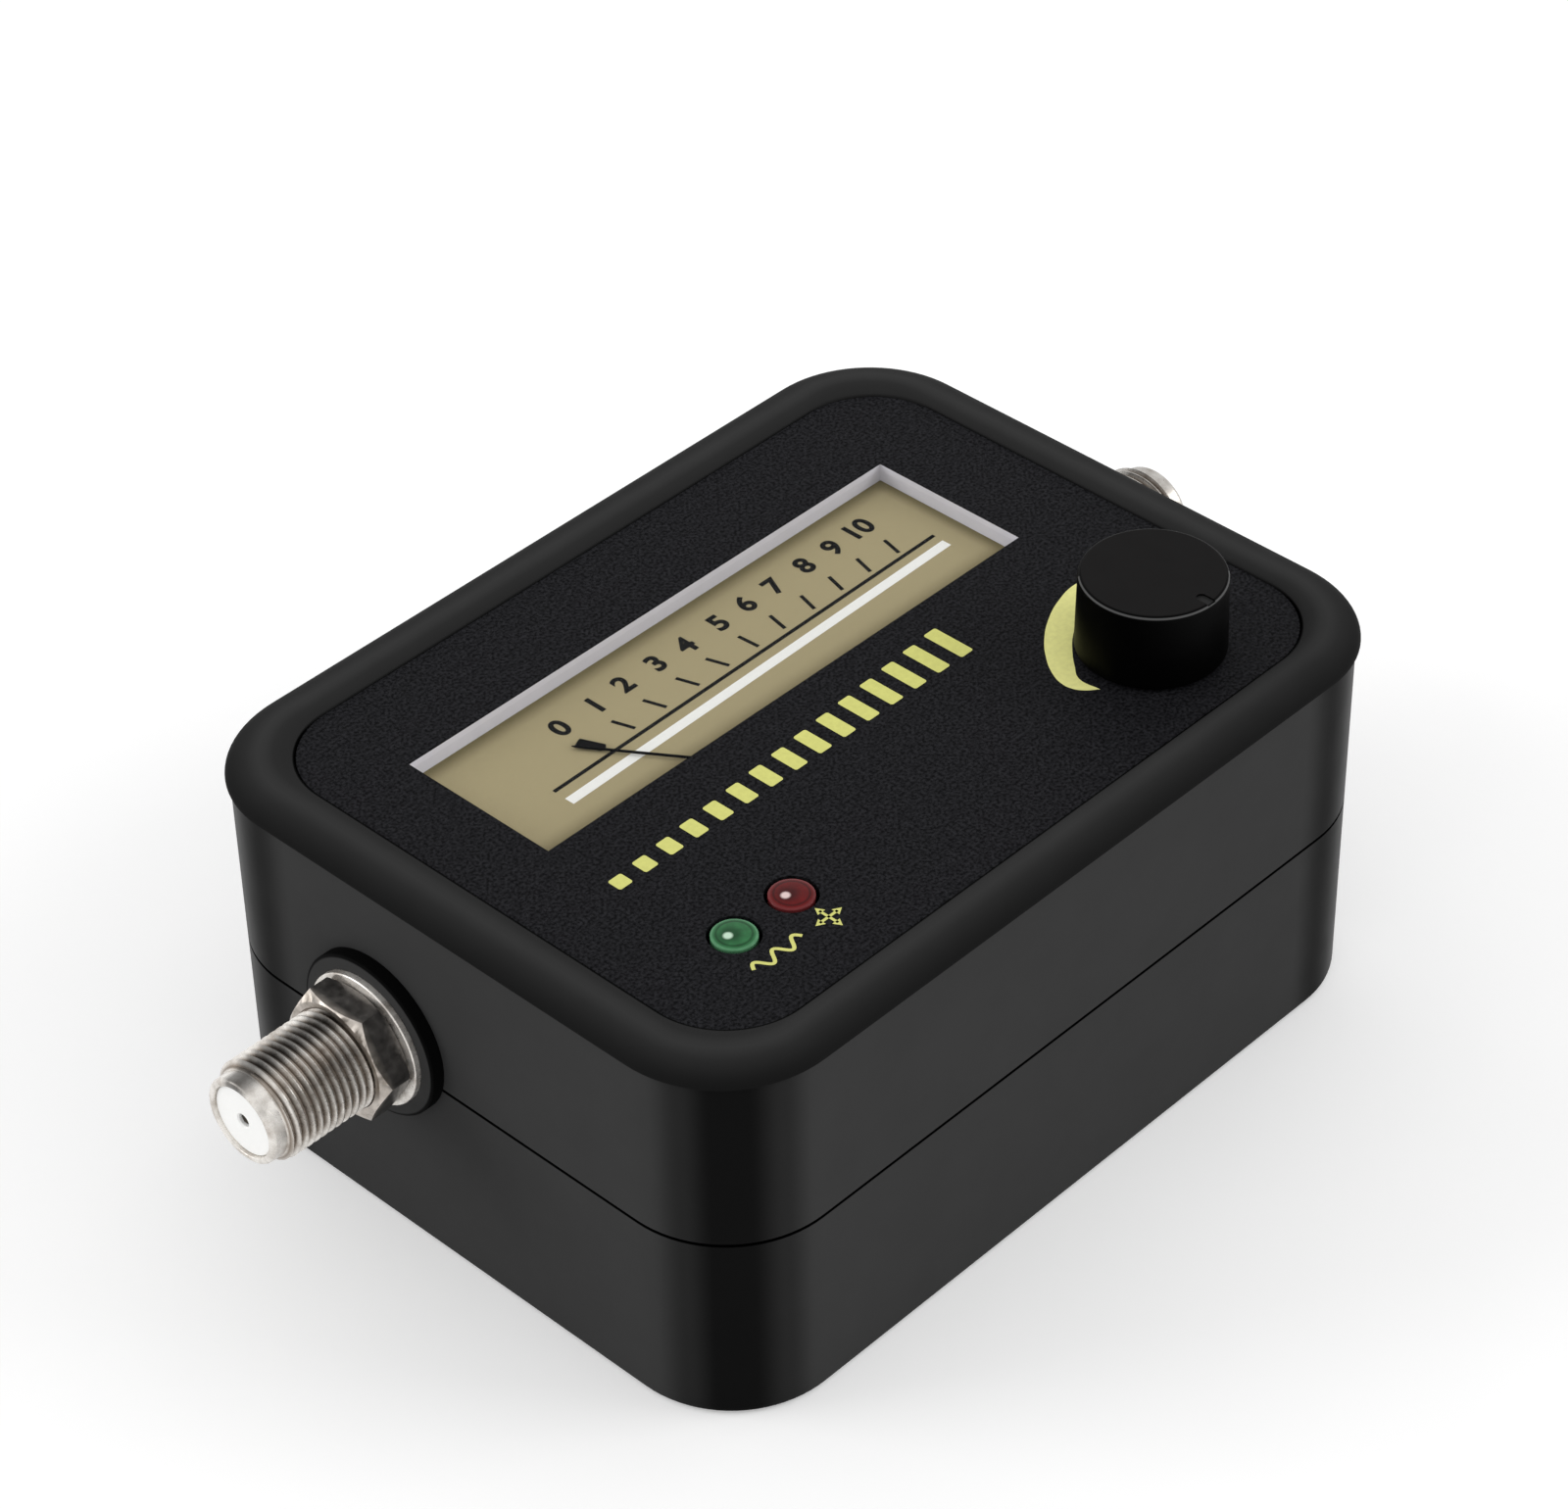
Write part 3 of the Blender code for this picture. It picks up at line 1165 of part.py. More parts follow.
def build_board():
    """Circuit board, notched for the case posts and for the meter's stem, and its screws."""
    half_x = board_half_length
    half_y = board_half_width
    notch_x = post_x - post_radius - board_post_gap
    notch_y = post_y - post_radius - board_post_gap
    stem_left = pivot_x - stem_half_width - housing_wall - seat_gap * 2
    stem_right = pivot_x + stem_half_width + housing_wall + seat_gap * 2
    outline = [
        (-notch_x, -half_y), (stem_left, -half_y), (stem_left, stem_notch_y),
        (stem_right, stem_notch_y), (stem_right, -half_y), (notch_x, -half_y),
        (notch_x, -notch_y), (half_x, -notch_y), (half_x, notch_y), (notch_x, notch_y),
        (notch_x, half_y), (-notch_x, half_y), (-notch_x, notch_y), (-half_x, notch_y),
        (-half_x, -notch_y), (-notch_x, -notch_y)]
    holes = [circle(board_screw_shank_radius + running_gap, place, small_steps)
             for place in pillar_places]
    lead_hole = lead_width / math.sqrt(2.0) + running_gap
    for place in lamp_places.values():
        for step in (-1, 1):
            holes.append(circle(lead_hole, (place[0] + step * lead_pitch / 2, place[1]), wire_steps))
    pin_hole = wafer_pin_width / math.sqrt(2.0) + running_gap
    pin_y = knob_y + pot_radius + sheet_gap + wafer_reach / 2
    for step in (-1, 0, 1):
        holes.append(circle(pin_hole, (knob_x + step * wafer_pin_pitch, pin_y), wire_steps))
    for x in (terminal_left_x, terminal_right_x):
        holes.append(circle(terminal_radius + running_gap * 2, (x, terminal_y), wire_steps))
    for step in (-1, 1):
        contact_x = end_wall_x - case_wall - seat_gap - socket_block_length - contact_tail
        holes.append(circle(contact_radius + running_gap * 2, (step * contact_x, socket_y), wire_steps))
    plate("circuit_board", [outline] + holes, board_base_z, board_top_z, board_green)
    for number, place in enumerate(pillar_places, start=1):
        build_screw("board_screw_%d" % number, place, board_base_z - sheet_gap,
                    board_screw_shank_radius, board_screw_length, board_screw_head_radius,
                    board_screw_head_height, board_screw_slot_width, board_screw_slot_depth)


def board_place(shares):
    """Return a place under the board from shares of its half sizes."""
    return (shares[0] * board_half_length, shares[1] * board_half_width)


def build_components():
    """Buzzer, capacitors, chips, regulator and choke hanging under the board.

    The chips keep clear of the meter's terminals, and the choke lies under the potentiometer.
    """
    top_z = board_base_z - sheet_gap
    buzzer = turned("buzzer", [
        (0.0, 0.0), (buzzer_radius, 0.0), (buzzer_radius, -buzzer_height),
        (buzzer_vent_radius, -buzzer_height), (buzzer_vent_radius, -buzzer_height / 2),
        (0.0, -buzzer_height / 2)], component_black)
    buzzer.location = (*board_place(buzzer_place_shares), top_z)
    sizes = {
        "capacitor_large": (capacitor_large_radius, capacitor_large_height,
                            capacitor_large_place_shares),
        "capacitor_small": (capacitor_small_radius, capacitor_small_height,
                            capacitor_small_place_shares)}
    for name, (radius, height, shares) in sizes.items():
        waist = height / 6
        can = turned(name, [
            (0.0, 0.0), (radius, 0.0), (radius, -waist), (radius - capacitor_crimp_depth, -waist * 1.4),
            (radius, -waist * 1.8), (radius, -height + capacitor_crimp_depth),
            (radius - capacitor_crimp_depth, -height), (0.0, -height)], capacitor_blue,
            steps=small_steps)
        can.location = (*board_place(shares), top_z)
    chips = {
        "detector_chip": (detector_chip_place_share * board_half_length,
                          terminal_y - chip_pin_gap - chip_width / 2),
        "logic_chip": (terminal_right_x - chip_terminal_gap - chip_length / 2,
                       stem_notch_y + chip_stem_gap + chip_width / 2)}
    for name, (x, y) in chips.items():
        body = bmesh.new()
        add_box(body, (-chip_length / 2, -chip_width / 2, -chip_height),
                (chip_length / 2, chip_width / 2, 0.0))
        chip = object_from_bmesh(name, body, parts, component_black)
        chip.location = (x, y, top_z)
        bevel_edges(chip, chip_edge)
    round_back = arc((terminal_right_x, terminal_y + regulator_terminal_gap), regulator_width / 2,
                     regulator_depth, 0.0, 180.0, 8)
    plate("regulator", [round_back], top_z - regulator_height, top_z, component_black)
    bpy.ops.mesh.primitive_torus_add(
        major_radius=choke_ring_radius, minor_radius=choke_wire_radius,
        major_segments=small_steps, minor_segments=wire_steps,
        location=(*knob_place, top_z - choke_wire_radius))
    choke = bpy.context.object
    choke.name = "choke"
    choke.data.name = "choke"
    choke.data.materials.append(copper)
    choke.data.shade_smooth()
    for holder in list(choke.users_collection):
        holder.objects.unlink(choke)
    parts.objects.link(choke)


def bevel_edges(item, width):
    """Round the edges of a moulded block."""
    bevel = item.modifiers.new("edges", "BEVEL")
    bevel.width = width
    bevel.segments = 1
    bevel.limit_method = "ANGLE"


def main():
    """Build the whole meter."""
    build_case_top()
    build_case_bottom()
    build_case_screws()
    build_label()
    build_meter_housing()
    build_lens_and_scale()
    build_magnet_system()
    build_jewels()
    build_moving_coil()
    build_pointer()
    build_hairspring()
    build_terminals()
    build_knob()
    build_potentiometer()
    build_lamps()
    for side, name in ((-1, "left"), (1, "right")):
        build_socket(side, name)
    build_board()
    build_components()


main()
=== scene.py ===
"""Looks of the satellite signal meter: shells, front sheet, dial, knob, lamps and sockets on the CAD frame."""

import logging
import math
from dataclasses import astuple, dataclass, replace
from enum import Enum

import bmesh
import bpy
from mathutils import Matrix, Vector


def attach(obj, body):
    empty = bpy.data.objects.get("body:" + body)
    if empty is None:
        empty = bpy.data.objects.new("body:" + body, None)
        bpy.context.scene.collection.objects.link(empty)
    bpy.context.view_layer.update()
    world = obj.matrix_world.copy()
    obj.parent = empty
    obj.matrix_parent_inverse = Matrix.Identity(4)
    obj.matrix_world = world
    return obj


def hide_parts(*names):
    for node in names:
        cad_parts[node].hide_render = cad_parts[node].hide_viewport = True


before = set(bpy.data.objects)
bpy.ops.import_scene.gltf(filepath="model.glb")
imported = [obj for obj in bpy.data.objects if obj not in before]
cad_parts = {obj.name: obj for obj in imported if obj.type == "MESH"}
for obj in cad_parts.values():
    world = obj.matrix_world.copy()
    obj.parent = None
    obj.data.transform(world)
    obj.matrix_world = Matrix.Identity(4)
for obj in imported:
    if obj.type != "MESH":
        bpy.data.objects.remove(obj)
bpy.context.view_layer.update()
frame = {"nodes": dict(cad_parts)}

log = logging.getLogger("signal_meter")
Pair = tuple[float, float]
Triple = tuple[float, float, float]
Colour = tuple[float, float, float, float]
Stops = tuple[tuple[float, float], ...]
Edges = list[bmesh.types.BMEdge]
Socket = bpy.types.NodeSocket
Finish = bpy.types.Material
Piece = bpy.types.Object

# Places and sizes are in millimetres, and angles in degrees.
MM = 0.001
GREY = 0x010101
WHITE, BLACK = (1.0, 1.0, 1.0, 1.0), (0.0, 0.0, 0.0, 1.0)
GREEN_LAMP, RED_LAMP = (-27.2, -18.3), (-20.5, -18.3)
LAMP_HOLE = 2.3
KNOB_PLACE = (24.2, -18.6)
KNOB_HOLE = 3.1
SOCKET_AXIS = (8.6, 22.0)
WINDOW = (-30.0, 28.4, 0.15, 16.9)
CASE_CORE, CASE_CORNER = (31.9, 21.6), 10.6
PARTING = 19.6


class Combine(Enum):
    """How one blank works on another."""

    UNITE = "UNION"
    CUT = "DIFFERENCE"
    KEEP = "INTERSECT"


class Side(Enum):
    """The two end walls, by the direction of their outer faces along X."""

    LEFT = -1
    RIGHT = 1


def linear(code: int, by: float = 1.0) -> Colour:
    """Turn a display colour 0xRRGGBB into a shader's colour, times a brightness."""
    parts = [((code >> shift) & 255) / 255.0 for shift in (16, 8, 0)]
    return (*((p / 12.92 if p <= 0.04045 else ((p + 0.055) / 1.055) ** 2.4) * by for p in parts), 1.0)


def arc(centre: Pair, radii: Pair, start: float, end: float, steps: int) -> list[Pair]:
    """Give points on an elliptical arc from one angle to another, with a number of chords."""
    turns = [math.radians(start + (end - start) * step / steps) for step in range(steps + 1)]
    return [(centre[0] + radii[0] * math.cos(t), centre[1] + radii[1] * math.sin(t)) for t in turns]


def put(x: float = 0.0, y: float = 0.0, z: float = 0.0, turn: float = 0.0, axis: str = "Z") -> Matrix:
    """Give the matrix that turns about an axis and then moves to a place."""
    return Matrix.Translation((x, y, z)) @ Matrix.Rotation(math.radians(turn), 4, axis)


def in_scene(name: str, data: bpy.types.ID) -> Piece:
    """Make an object and link it to the scene.

    Args:
        name: its name.
        data: its mesh, curve, camera or light.

    Returns:
        The object.
    """
    item = bpy.data.objects.new(name, data)
    bpy.context.scene.collection.objects.link(item)
    return item


def drop(item: Piece) -> None:
    """Delete a passing object with its mesh or curve.

    Args:
        item: the object.
    """
    data = item.data
    bpy.data.objects.remove(item)
    (bpy.data.meshes if isinstance(data, bpy.types.Mesh) else bpy.data.curves).remove(data)


def wire(points: list[Triple], thickness: float, taper: float = 1.0) -> bpy.types.Curve:
    """Draw a round wire.

    Args:
        points: where it runs.
        thickness: its radius.
        taper: the share of it at the last point.

    Returns:
        The curve.
    """
    curve = bpy.data.curves.new("wire", "CURVE")
    curve.dimensions, curve.bevel_depth, curve.bevel_resolution, curve.use_fill_caps = "3D", thickness, 3, True
    spline = curve.splines.new("POLY")
    spline.points.add(len(points) - 1)
    for knot, point in zip(spline.points, points):
        knot.co = (*point, 1.0)
    spline.points[-1].radius = taper
    return curve


@dataclass(frozen=True)
class RoundedOutline:
    """A rounded rectangle seen from above."""

    length: float
    width: float
    radius: float
    centre_y: float = 0.0
    centre_x: float = 0.0

    def grown(self, by: float) -> "RoundedOutline":
        """Give the outline moved out by one distance all round."""
        return replace(self, length=self.length + 2 * by, width=self.width + 2 * by, radius=self.radius + by)

    def towards(self, other: "RoundedOutline", share: float) -> "RoundedOutline":
        """Go a share of the way to another outline."""
        return RoundedOutline(*(a + (b - a) * share for a, b in zip(astuple(self), astuple(other))))


class Blank:
    """A piece in the making: one bmesh in millimetres, and the moves that shape it and give it back."""

    def __init__(self, name: str) -> None:
        """Start an empty blank under the piece's name."""
        self.name, self.bm = name, bmesh.new()

    def loop(self, outline: RoundedOutline, height: float, segments: int) -> Edges:
        """Add one open loop in the shape of a rounded rectangle.

        Args:
            outline: the rounded rectangle.
            height: where the loop lies.
            segments: chords on each corner.

        Returns:
            The loop's edges.
        """
        before = set(self.bm.faces)
        shape = put(outline.centre_x, outline.centre_y, height) @ Matrix.Diagonal(
            (outline.length, outline.width, 1.0, 1.0))
        grid = bmesh.ops.create_grid(self.bm, x_segments=1, y_segments=1, size=0.5, matrix=shape)
        bmesh.ops.bevel(self.bm, geom=grid["verts"], offset=outline.radius, offset_type="OFFSET",
                        segments=segments, profile=0.5, affect="VERTICES", clamp_overlap=False, material=-1)
        sheet = next(face for face in self.bm.faces if face not in before)
        edges = list(sheet.edges)
        bmesh.ops.delete(self.bm, geom=[sheet], context="FACES_ONLY")
        return edges

    def loft(self, rings: list[tuple[RoundedOutline, float]], segments: int = 20) -> "Blank":
        """Skin a closed solid over rounded rectangles.

        Args:
            rings: outlines with their heights, in order along the skin.
            segments: chords on each corner.

        Returns:
            The blank itself.
        """
        loops = [self.loop(outline, height, segments) for outline, height in rings]
        for lower, upper in zip(loops, loops[1:]):
            bmesh.ops.bridge_loops(self.bm, edges=lower + upper)
        for loop in (loops[0], loops[-1]):
            bmesh.ops.edgeloop_fill(self.bm, edges=loop)
        return self.settled()

    def turned(self, profile: list[Pair], steps: int = 96, closed: bool = False, turns: int = 1,
               pitch: float = 0.0) -> "Blank":
        """Turn a profile of radius and height about the Z axis.

        Args:
            profile: the points, from pole to pole or round a section.
            steps: chords on each turn.
            closed: True for a section, which ends where it starts.
            turns: how many turns it makes.
            pitch: the rise of a turn, for a thread.

        Returns:
            The blank itself.
        """
        verts = [self.bm.verts.new((radius, 0.0, height)) for radius, height in profile]
        edges = [self.bm.edges.new(pair) for pair in zip(verts, verts[1:] + (verts[:1] if closed else []))]
        bmesh.ops.spin(self.bm, geom=verts + edges, cent=(0.0, 0.0, 0.0), axis=(0.0, 0.0, 1.0),
                       dvec=(0.0, 0.0, pitch / steps), angle=math.tau * turns, steps=steps * turns,
                       use_merge=not pitch, use_normal_flip=False, use_duplicate=False)
        if pitch:
            bmesh.ops.holes_fill(self.bm, edges=[edge for edge in self.bm.edges if edge.is_boundary])
        return self.settled()

    def thread(self, root: float, crest: float, pitch: float, turns: int, steps: int) -> "Blank":
        """Add a thread's helical ridge, which starts at height 0.

        Args:
            root: the radius inside the core.
            crest: the radius of the crest.
            pitch: the rise of one turn.
            turns: how many turns it has.
            steps: chords on each turn.

        Returns:
            The blank itself.
        """
        root_share, crest_share = 0.94, 0.12
        half, tip = pitch * root_share / 2, pitch * crest_share / 2
        return self.turned([(root, -half), (crest, -tip), (crest, tip), (root, half)], steps, True, turns, pitch)

    def block(self, low: Triple, high: Triple) -> "Blank":
        """Add a block.

        Args:
            low: its lowest corner.
            high: its highest corner.

        Returns:
            The blank itself.
        """
        bmesh.ops.create_cube(self.bm, size=1.0, matrix=put(*((a + b) / 2 for a, b in zip(low, high)))
                              @ Matrix.Diagonal((*(b - a for a, b in zip(low, high)), 1.0)))
        return self

    def column(self, radius: float, low: float, high: float, place: Pair = (0.0, 0.0), steps: int = 64,
               top_radius: float | None = None, turn: float = 0.0) -> "Blank":
        """Add an upright column, round or with few sides, which may taper.

        Args:
            radius: radius at its foot.
            low: height of its foot.
            high: height of its top.
            place: its axis in the plan.
            steps: number of sides.
            top_radius: radius at its top, where that differs.
            turn: turn of its sides about the axis.

        Returns:
            The blank itself.
        """
        bmesh.ops.create_cone(self.bm, cap_ends=True, cap_tris=False, segments=steps, radius1=radius,
                              radius2=radius if top_radius is None else top_radius, depth=high - low,
                              matrix=put(*place, (low + high) / 2, turn))
        return self

    def settled(self) -> "Blank":
        """Merge doubles and turn every face outwards.

        Returns:
            The blank itself.
        """
        bmesh.ops.remove_doubles(self.bm, verts=self.bm.verts[:], dist=1e-4)
        bmesh.ops.recalc_face_normals(self.bm, faces=self.bm.faces[:])
        return self

    def moved(self, matrix: Matrix) -> "Blank":
        """Put the whole blank somewhere else."""
        bmesh.ops.transform(self.bm, matrix=matrix, verts=self.bm.verts[:])
        return self

    def placed(self, name: str) -> Piece:
        """Put the blank's shape into the scene as an object, and keep the blank.

        Args:
            name: the object's name.

        Returns:
            The object.
        """
        mesh = bpy.data.meshes.new(name)
        self.bm.to_mesh(mesh)
        return in_scene(name, mesh)

    def take_in(self, item: Piece) -> "Blank":
        """Replace the blank's shape by an object's evaluated mesh, and drop the object.

        Args:
            item: the object.

        Returns:
            The blank itself.
        """
        bpy.context.view_layer.update()
        shaped = item.evaluated_get(bpy.context.evaluated_depsgraph_get())
        self.bm.clear()
        self.bm.from_mesh(shaped.to_mesh())
        shaped.to_mesh_clear()
        drop(item)
        return self

    def combined(self, tool: "Blank", how: Combine = Combine.CUT) -> "Blank":
        """Work on this blank with another one.

        Args:
            tool: the blank that cuts, joins or trims.
            how: the way it does so.

        Returns:
            The blank itself.
        """
        item, cutter = self.placed("rough"), tool.placed("tool")
        modifier = item.modifiers.new("combine", "BOOLEAN")
        modifier.operation, modifier.solver, modifier.object = how.value, "EXACT", cutter
        self.take_in(item)
        if not self.bm.faces:
            raise ValueError("nothing is left after %s with %s" % (how.name, tool.name))
        drop(cutter)
        tool.bm.free()
        return self

    def added(self, other: "Blank") -> "Blank":
        """Put another blank's faces beside this one's, with no cut between them.

        Args:
            other: the other blank.

        Returns:
            The blank itself.
        """
        passing = other.placed("passing")
        self.bm.from_mesh(passing.data)
        drop(passing)
        other.bm.free()
        return self

    def softened(self, width: float, sharper_than: float = 50.0, segments: int = 2) -> "Blank":
        """Bevel the edges that turn more than an angle.

        Args:
            width: the bevel's width.
            sharper_than: the least turn.
            segments: faces across the bevel.

        Returns:
            The blank itself.
        """
        self.bm.normal_update()
        limit = math.radians(sharper_than)
        edges = [edge for edge in self.bm.edges if edge.calc_face_angle(0.0) > limit]
        bmesh.ops.bevel(self.bm, geom=edges, offset=width, offset_type="OFFSET", segments=segments,
                        profile=0.5, affect="EDGES", clamp_overlap=True, material=-1)
        return self

    def finished(self, material: Finish, slot: str, node: str | None = None, body: str = "case",
                 crease: float = 34.0, weighted: bool = False) -> None:
        """Turn the blank into a piece of the object, in metres.

        Args:
            material: its finish.
            slot: the material slot that it stands for; not used.
            node: the CAD node that it is shown for.
            body: the moving body that it rides on.
            crease: edges that turn more than this stay sharp.
            weighted: True where large flat faces should lead the shading.
        """
        bmesh.ops.scale(self.bm, vec=(MM, MM, MM), verts=self.bm.verts[:])
        self.bm.normal_update()
        limit = math.radians(crease)
        for face in self.bm.faces:
            face.smooth = True
        for edge in self.bm.edges:
            edge.smooth = edge.calc_face_angle(0.0) < limit
        piece = self.placed(self.name)
        self.bm.free()
        piece.data.materials.append(material)
        if weighted:
            piece.modifiers.new("shading", "WEIGHTED_NORMAL").keep_sharp = True
        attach(piece, body)
        if node:
            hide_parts(node)
        log.info("%s: %d faces on %s", self.name, len(piece.data.polygons), body)


class NodeBoard:
    """The node tree of one material or world, with the few moves that the finishes share."""

    def __init__(self, name: str, kind: str = "materials") -> None:
        """Make a material or a world with an empty tree.

        Args:
            name: its name.
            kind: the collection that it belongs to.
        """
        self.owner = getattr(bpy.data, kind).new(name)
        self.owner.use_nodes = True
        self.tree = self.owner.node_tree
        self.tree.nodes.clear()

    def add(self, kind: str, inputs: dict[int | str, object], output: int | str = 0,
            **settings: object) -> Socket:
        """Add a node.

        Args:
            kind: the node's type, without its first words.
            inputs: for each input, by place or name, its value or the socket that feeds it.
            output: the output that is wanted.
            settings: the node's own settings.

        Returns:
            The output.
        """
        node = self.tree.nodes.new("ShaderNode" + kind)
        for name, value in settings.items():
            setattr(node, name, value)
        for key, value in inputs.items():
            if isinstance(value, Socket):
                self.tree.links.new(value, node.inputs[key])
            else:
                node.inputs[key].default_value = value
        return node.outputs[output]

    @property
    def coords(self) -> Socket:
        """Give the place on the piece, in metres."""
        return self.add("TexCoord", {}, "Object")

    def part(self, vector: Socket, letter: str) -> Socket:
        """Give the X, Y or Z of a vector."""
        return self.add("SeparateXYZ", {0: vector}, letter)

    def placed(self, centre: Triple = (0.0, 0.0, 0.0), size: Triple = (1.0, 1.0, 1.0),
               turn: float = 0.0) -> Socket:
        """Set up the coordinates of a pattern.

        Args:
            centre: centre of the pattern.
            size: lengths that count as one in it.
            turn: turn about Z.

        Returns:
            The place in the pattern.
        """
        return self.add("Mapping", {
            "Vector": self.coords, "Location": [c * MM for c in centre], "Scale": [s * MM for s in size],
            "Rotation": (0.0, 0.0, math.radians(turn))}, vector_type="TEXTURE")

    def noise(self, size: float, detail: float = 2.0, roughness: float = 0.5,
              stretch: Triple = (1.0, 1.0, 1.0)) -> Socket:
        """Give a noise between 0 and 1 whose blotches have one size, with finer layers, stretched or not."""
        return self.add("TexNoise", {"Vector": self.placed(size=tuple(size * s for s in stretch)), "Scale": 1.0,
                                     "Detail": detail, "Roughness": roughness}, "Fac")

    def ranged(self, source: Socket, low: float, high: float, start: float = 0.3, end: float = 0.7,
               easing: str = "LINEAR") -> Socket:
        """Turn a value that runs from start to end into one that runs from low to high."""
        return self.add("MapRange", {"Value": source, 1: start, 2: end, 3: low, 4: high}, "Result",
                        interpolation_type=easing, clamp=True)

    def past(self, distance: Socket, start: float, end: float) -> Socket:
        """Rise from 0 to 1 between two distances."""
        return self.ranged(distance, 0.0, 1.0, start * MM, end * MM)

    def within(self, distance: Socket, start: float, end: float) -> Socket:
        """Fall from 1 to 0 between two distances."""
        return self.ranged(distance, 1.0, 0.0, start * MM, end * MM)

    def blended(self, share: Socket | float, first: Colour | Socket, second: Colour | Socket,
                how: str = "MIX") -> Socket:
        """Blend a share of a second colour into a first one."""
        return self.add("Mix", {0: share, 6: first, 7: second}, 2, data_type="RGBA", blend_type=how)

    def worked(self, operation: str, first: Socket, second: Triple = (0.0, 0.0, 0.0)) -> Socket:
        """Do one step of vector arithmetic on a vector and a fixed one, in metres."""
        return self.add("VectorMath", {0: first, 1: second}, int(operation == "LENGTH"), operation=operation)

    def counted(self, operation: str, first: Socket, second: Socket) -> Socket:
        """Do one step of arithmetic on two values."""
        return self.add("Math", {0: first, 1: second}, operation=operation)

    def distance(self, centre: Triple, along: Triple) -> Socket:
        """Give how far a point is from one place, along the directions that are 1 and not 0."""
        away = self.worked("SUBTRACT", self.coords, tuple(c * MM for c in centre))
        return self.worked("LENGTH", self.worked("MULTIPLY", away, along))

    def beyond(self, core: Pair, centre: Pair = (0.0, 0.0)) -> Socket:
        """Give the way in the plan from a rectangle, by its half sizes, to a point outside it."""
        away = self.worked("ABSOLUTE", self.worked("SUBTRACT", self.coords, (centre[0] * MM, centre[1] * MM, 0.0)))
        return self.worked("MAXIMUM", self.worked("SUBTRACT", away, (core[0] * MM, core[1] * MM, 1.0)))

    def ramped(self, source: Socket, stops: Stops, easing: str = "LINEAR") -> Socket:
        """Turn a value into colours.

        Args:
            source: the value.
            stops: places between 0 and 1 with their display colours.
            easing: how the colour runs between them.

        Returns:
            The colour.
        """
        colour = self.add("ValToRGB", {0: source})
        ramp = colour.node.color_ramp
        ramp.interpolation = easing
        first, last = ramp.elements[0], ramp.elements[1]
        for element, (place, code) in ((first, stops[0]), (last, stops[-1])):
            element.position, element.color = place, linear(code)
        for place, code in stops[1:-1]:
            ramp.elements.new(place).color = linear(code)
        return colour

    def varied(self, colour: Colour | Socket, pattern: Socket, by: float) -> Socket:
        """Make a colour lighter and darker by a share of itself, after a pattern."""
        value = self.ranged(pattern, 1.0 - by, 1.0 + by)
        return self.add("HueSaturation", {"Color": colour, "Saturation": 1.0, "Value": value})

    def seen(self, otherwise: float, strength: float) -> Socket:
        """Give one strength where light is seen, directly, in gloss or through glass, and another elsewhere.

        Args:
            otherwise: the strength for light that falls on surfaces.
            strength: the strength where it is seen.

        Returns:
            The strength.
        """
        total = self.add("LightPath", {}, "Is Camera Ray")
        for kind in ("Is Glossy Ray", "Is Transmission Ray"):
            total = self.counted("MAXIMUM", total, self.add("LightPath", {}, kind))
        return self.ranged(total, otherwise, strength, 0.0, 1.0)

    def shown(self, surface: Socket, output: str = "ShaderNodeOutputMaterial") -> None:
        """Join a shader to the tree's output."""
        self.tree.links.new(surface, self.tree.nodes.new(output).inputs["Surface"])

    def dressed(self, colour: Socket, gloss: Socket, height: Socket, depth: float, hole: Socket | None = None,
                **values: object) -> Finish:
        """Feed the shader, with a height pressed into the surface.

        Args:
            colour: the base colour.
            gloss: the roughness.
            height: the bumps between 0 and 1.
            depth: the bumps' full height.
            hole: 1 where a surface that shows from its front only is clear.
            values: the shader's other inputs, with an underscore for each space.

        Returns:
            The material.
        """
        bumps = self.add("Bump", {"Height": height, "Distance": depth * MM, "Strength": 1.0})
        others = {name.replace("_", " "): value for name, value in values.items()}
        surface = self.add("BsdfPrincipled", {"Base Color": colour, "Roughness": gloss, "Normal": bumps, **others})
        if hole:
            clear = self.counted("MAXIMUM", self.add("NewGeometry", {}, "Backfacing"), hole)
            surface = self.add("MixShader", {0: clear, 1: surface, 2: self.add("BsdfTransparent", {})})
        self.shown(surface)
        return self.owner


@dataclass(frozen=True)
class MouldedPlastic:
    """Moulded plastic with a spark-eroded skin and slow changes of tone and gloss."""

    name: str
    colour: int
    roughness: float = 0.42
    shine: float = 0.3
    grain: float = 0.18
    grain_depth: float = 0.004
    mottle: float = 0.06

    def tone(self, board: NodeBoard) -> Socket:
        """Give the plastic's own colour, with fine specks but before its slow mottle."""
        specks = board.ranged(board.noise(1.2, 3.0), 0.0, 1.0)
        return board.blended(specks, linear(self.colour), linear(self.colour, 1.0 + self.mottle))

    def made(self) -> Finish:
        """Build the material.

        Returns:
            The material.
        """
        board = NodeBoard(self.name)
        colour = board.varied(self.tone(board), board.noise(7.0, 3.0), self.mottle)
        gloss = board.ranged(board.noise(2.4, 4.0), self.roughness - 0.04, self.roughness + 0.05)
        return board.dressed(colour, gloss, board.noise(self.grain, 2.5, 0.6), self.grain_depth,
                             Specular_IOR_Level=self.shine)


@dataclass(frozen=True)
class CollarPlastic(MouldedPlastic):
    """Black plastic of a socket's collar, with painted shade that darkens its outer edge."""

    # Painted shade: the darker colour of the collar's outer edge.
    outer: int = 0x0A0A0A
    reach: float = 10.0
    edge: Pair = (7.45, 7.6)

    def tone(self, board: NodeBoard) -> Socket:
        """Give the colour by the distance from the sockets' axis, with the painted shade on the outer edge."""
        away = board.past(board.distance((0.0, *SOCKET_AXIS), (0.0, 1.0, 1.0)), 0.0, self.reach)
        return board.ramped(away, ((self.edge[0] / self.reach, self.colour), (self.edge[1] / self.reach, self.outer)))


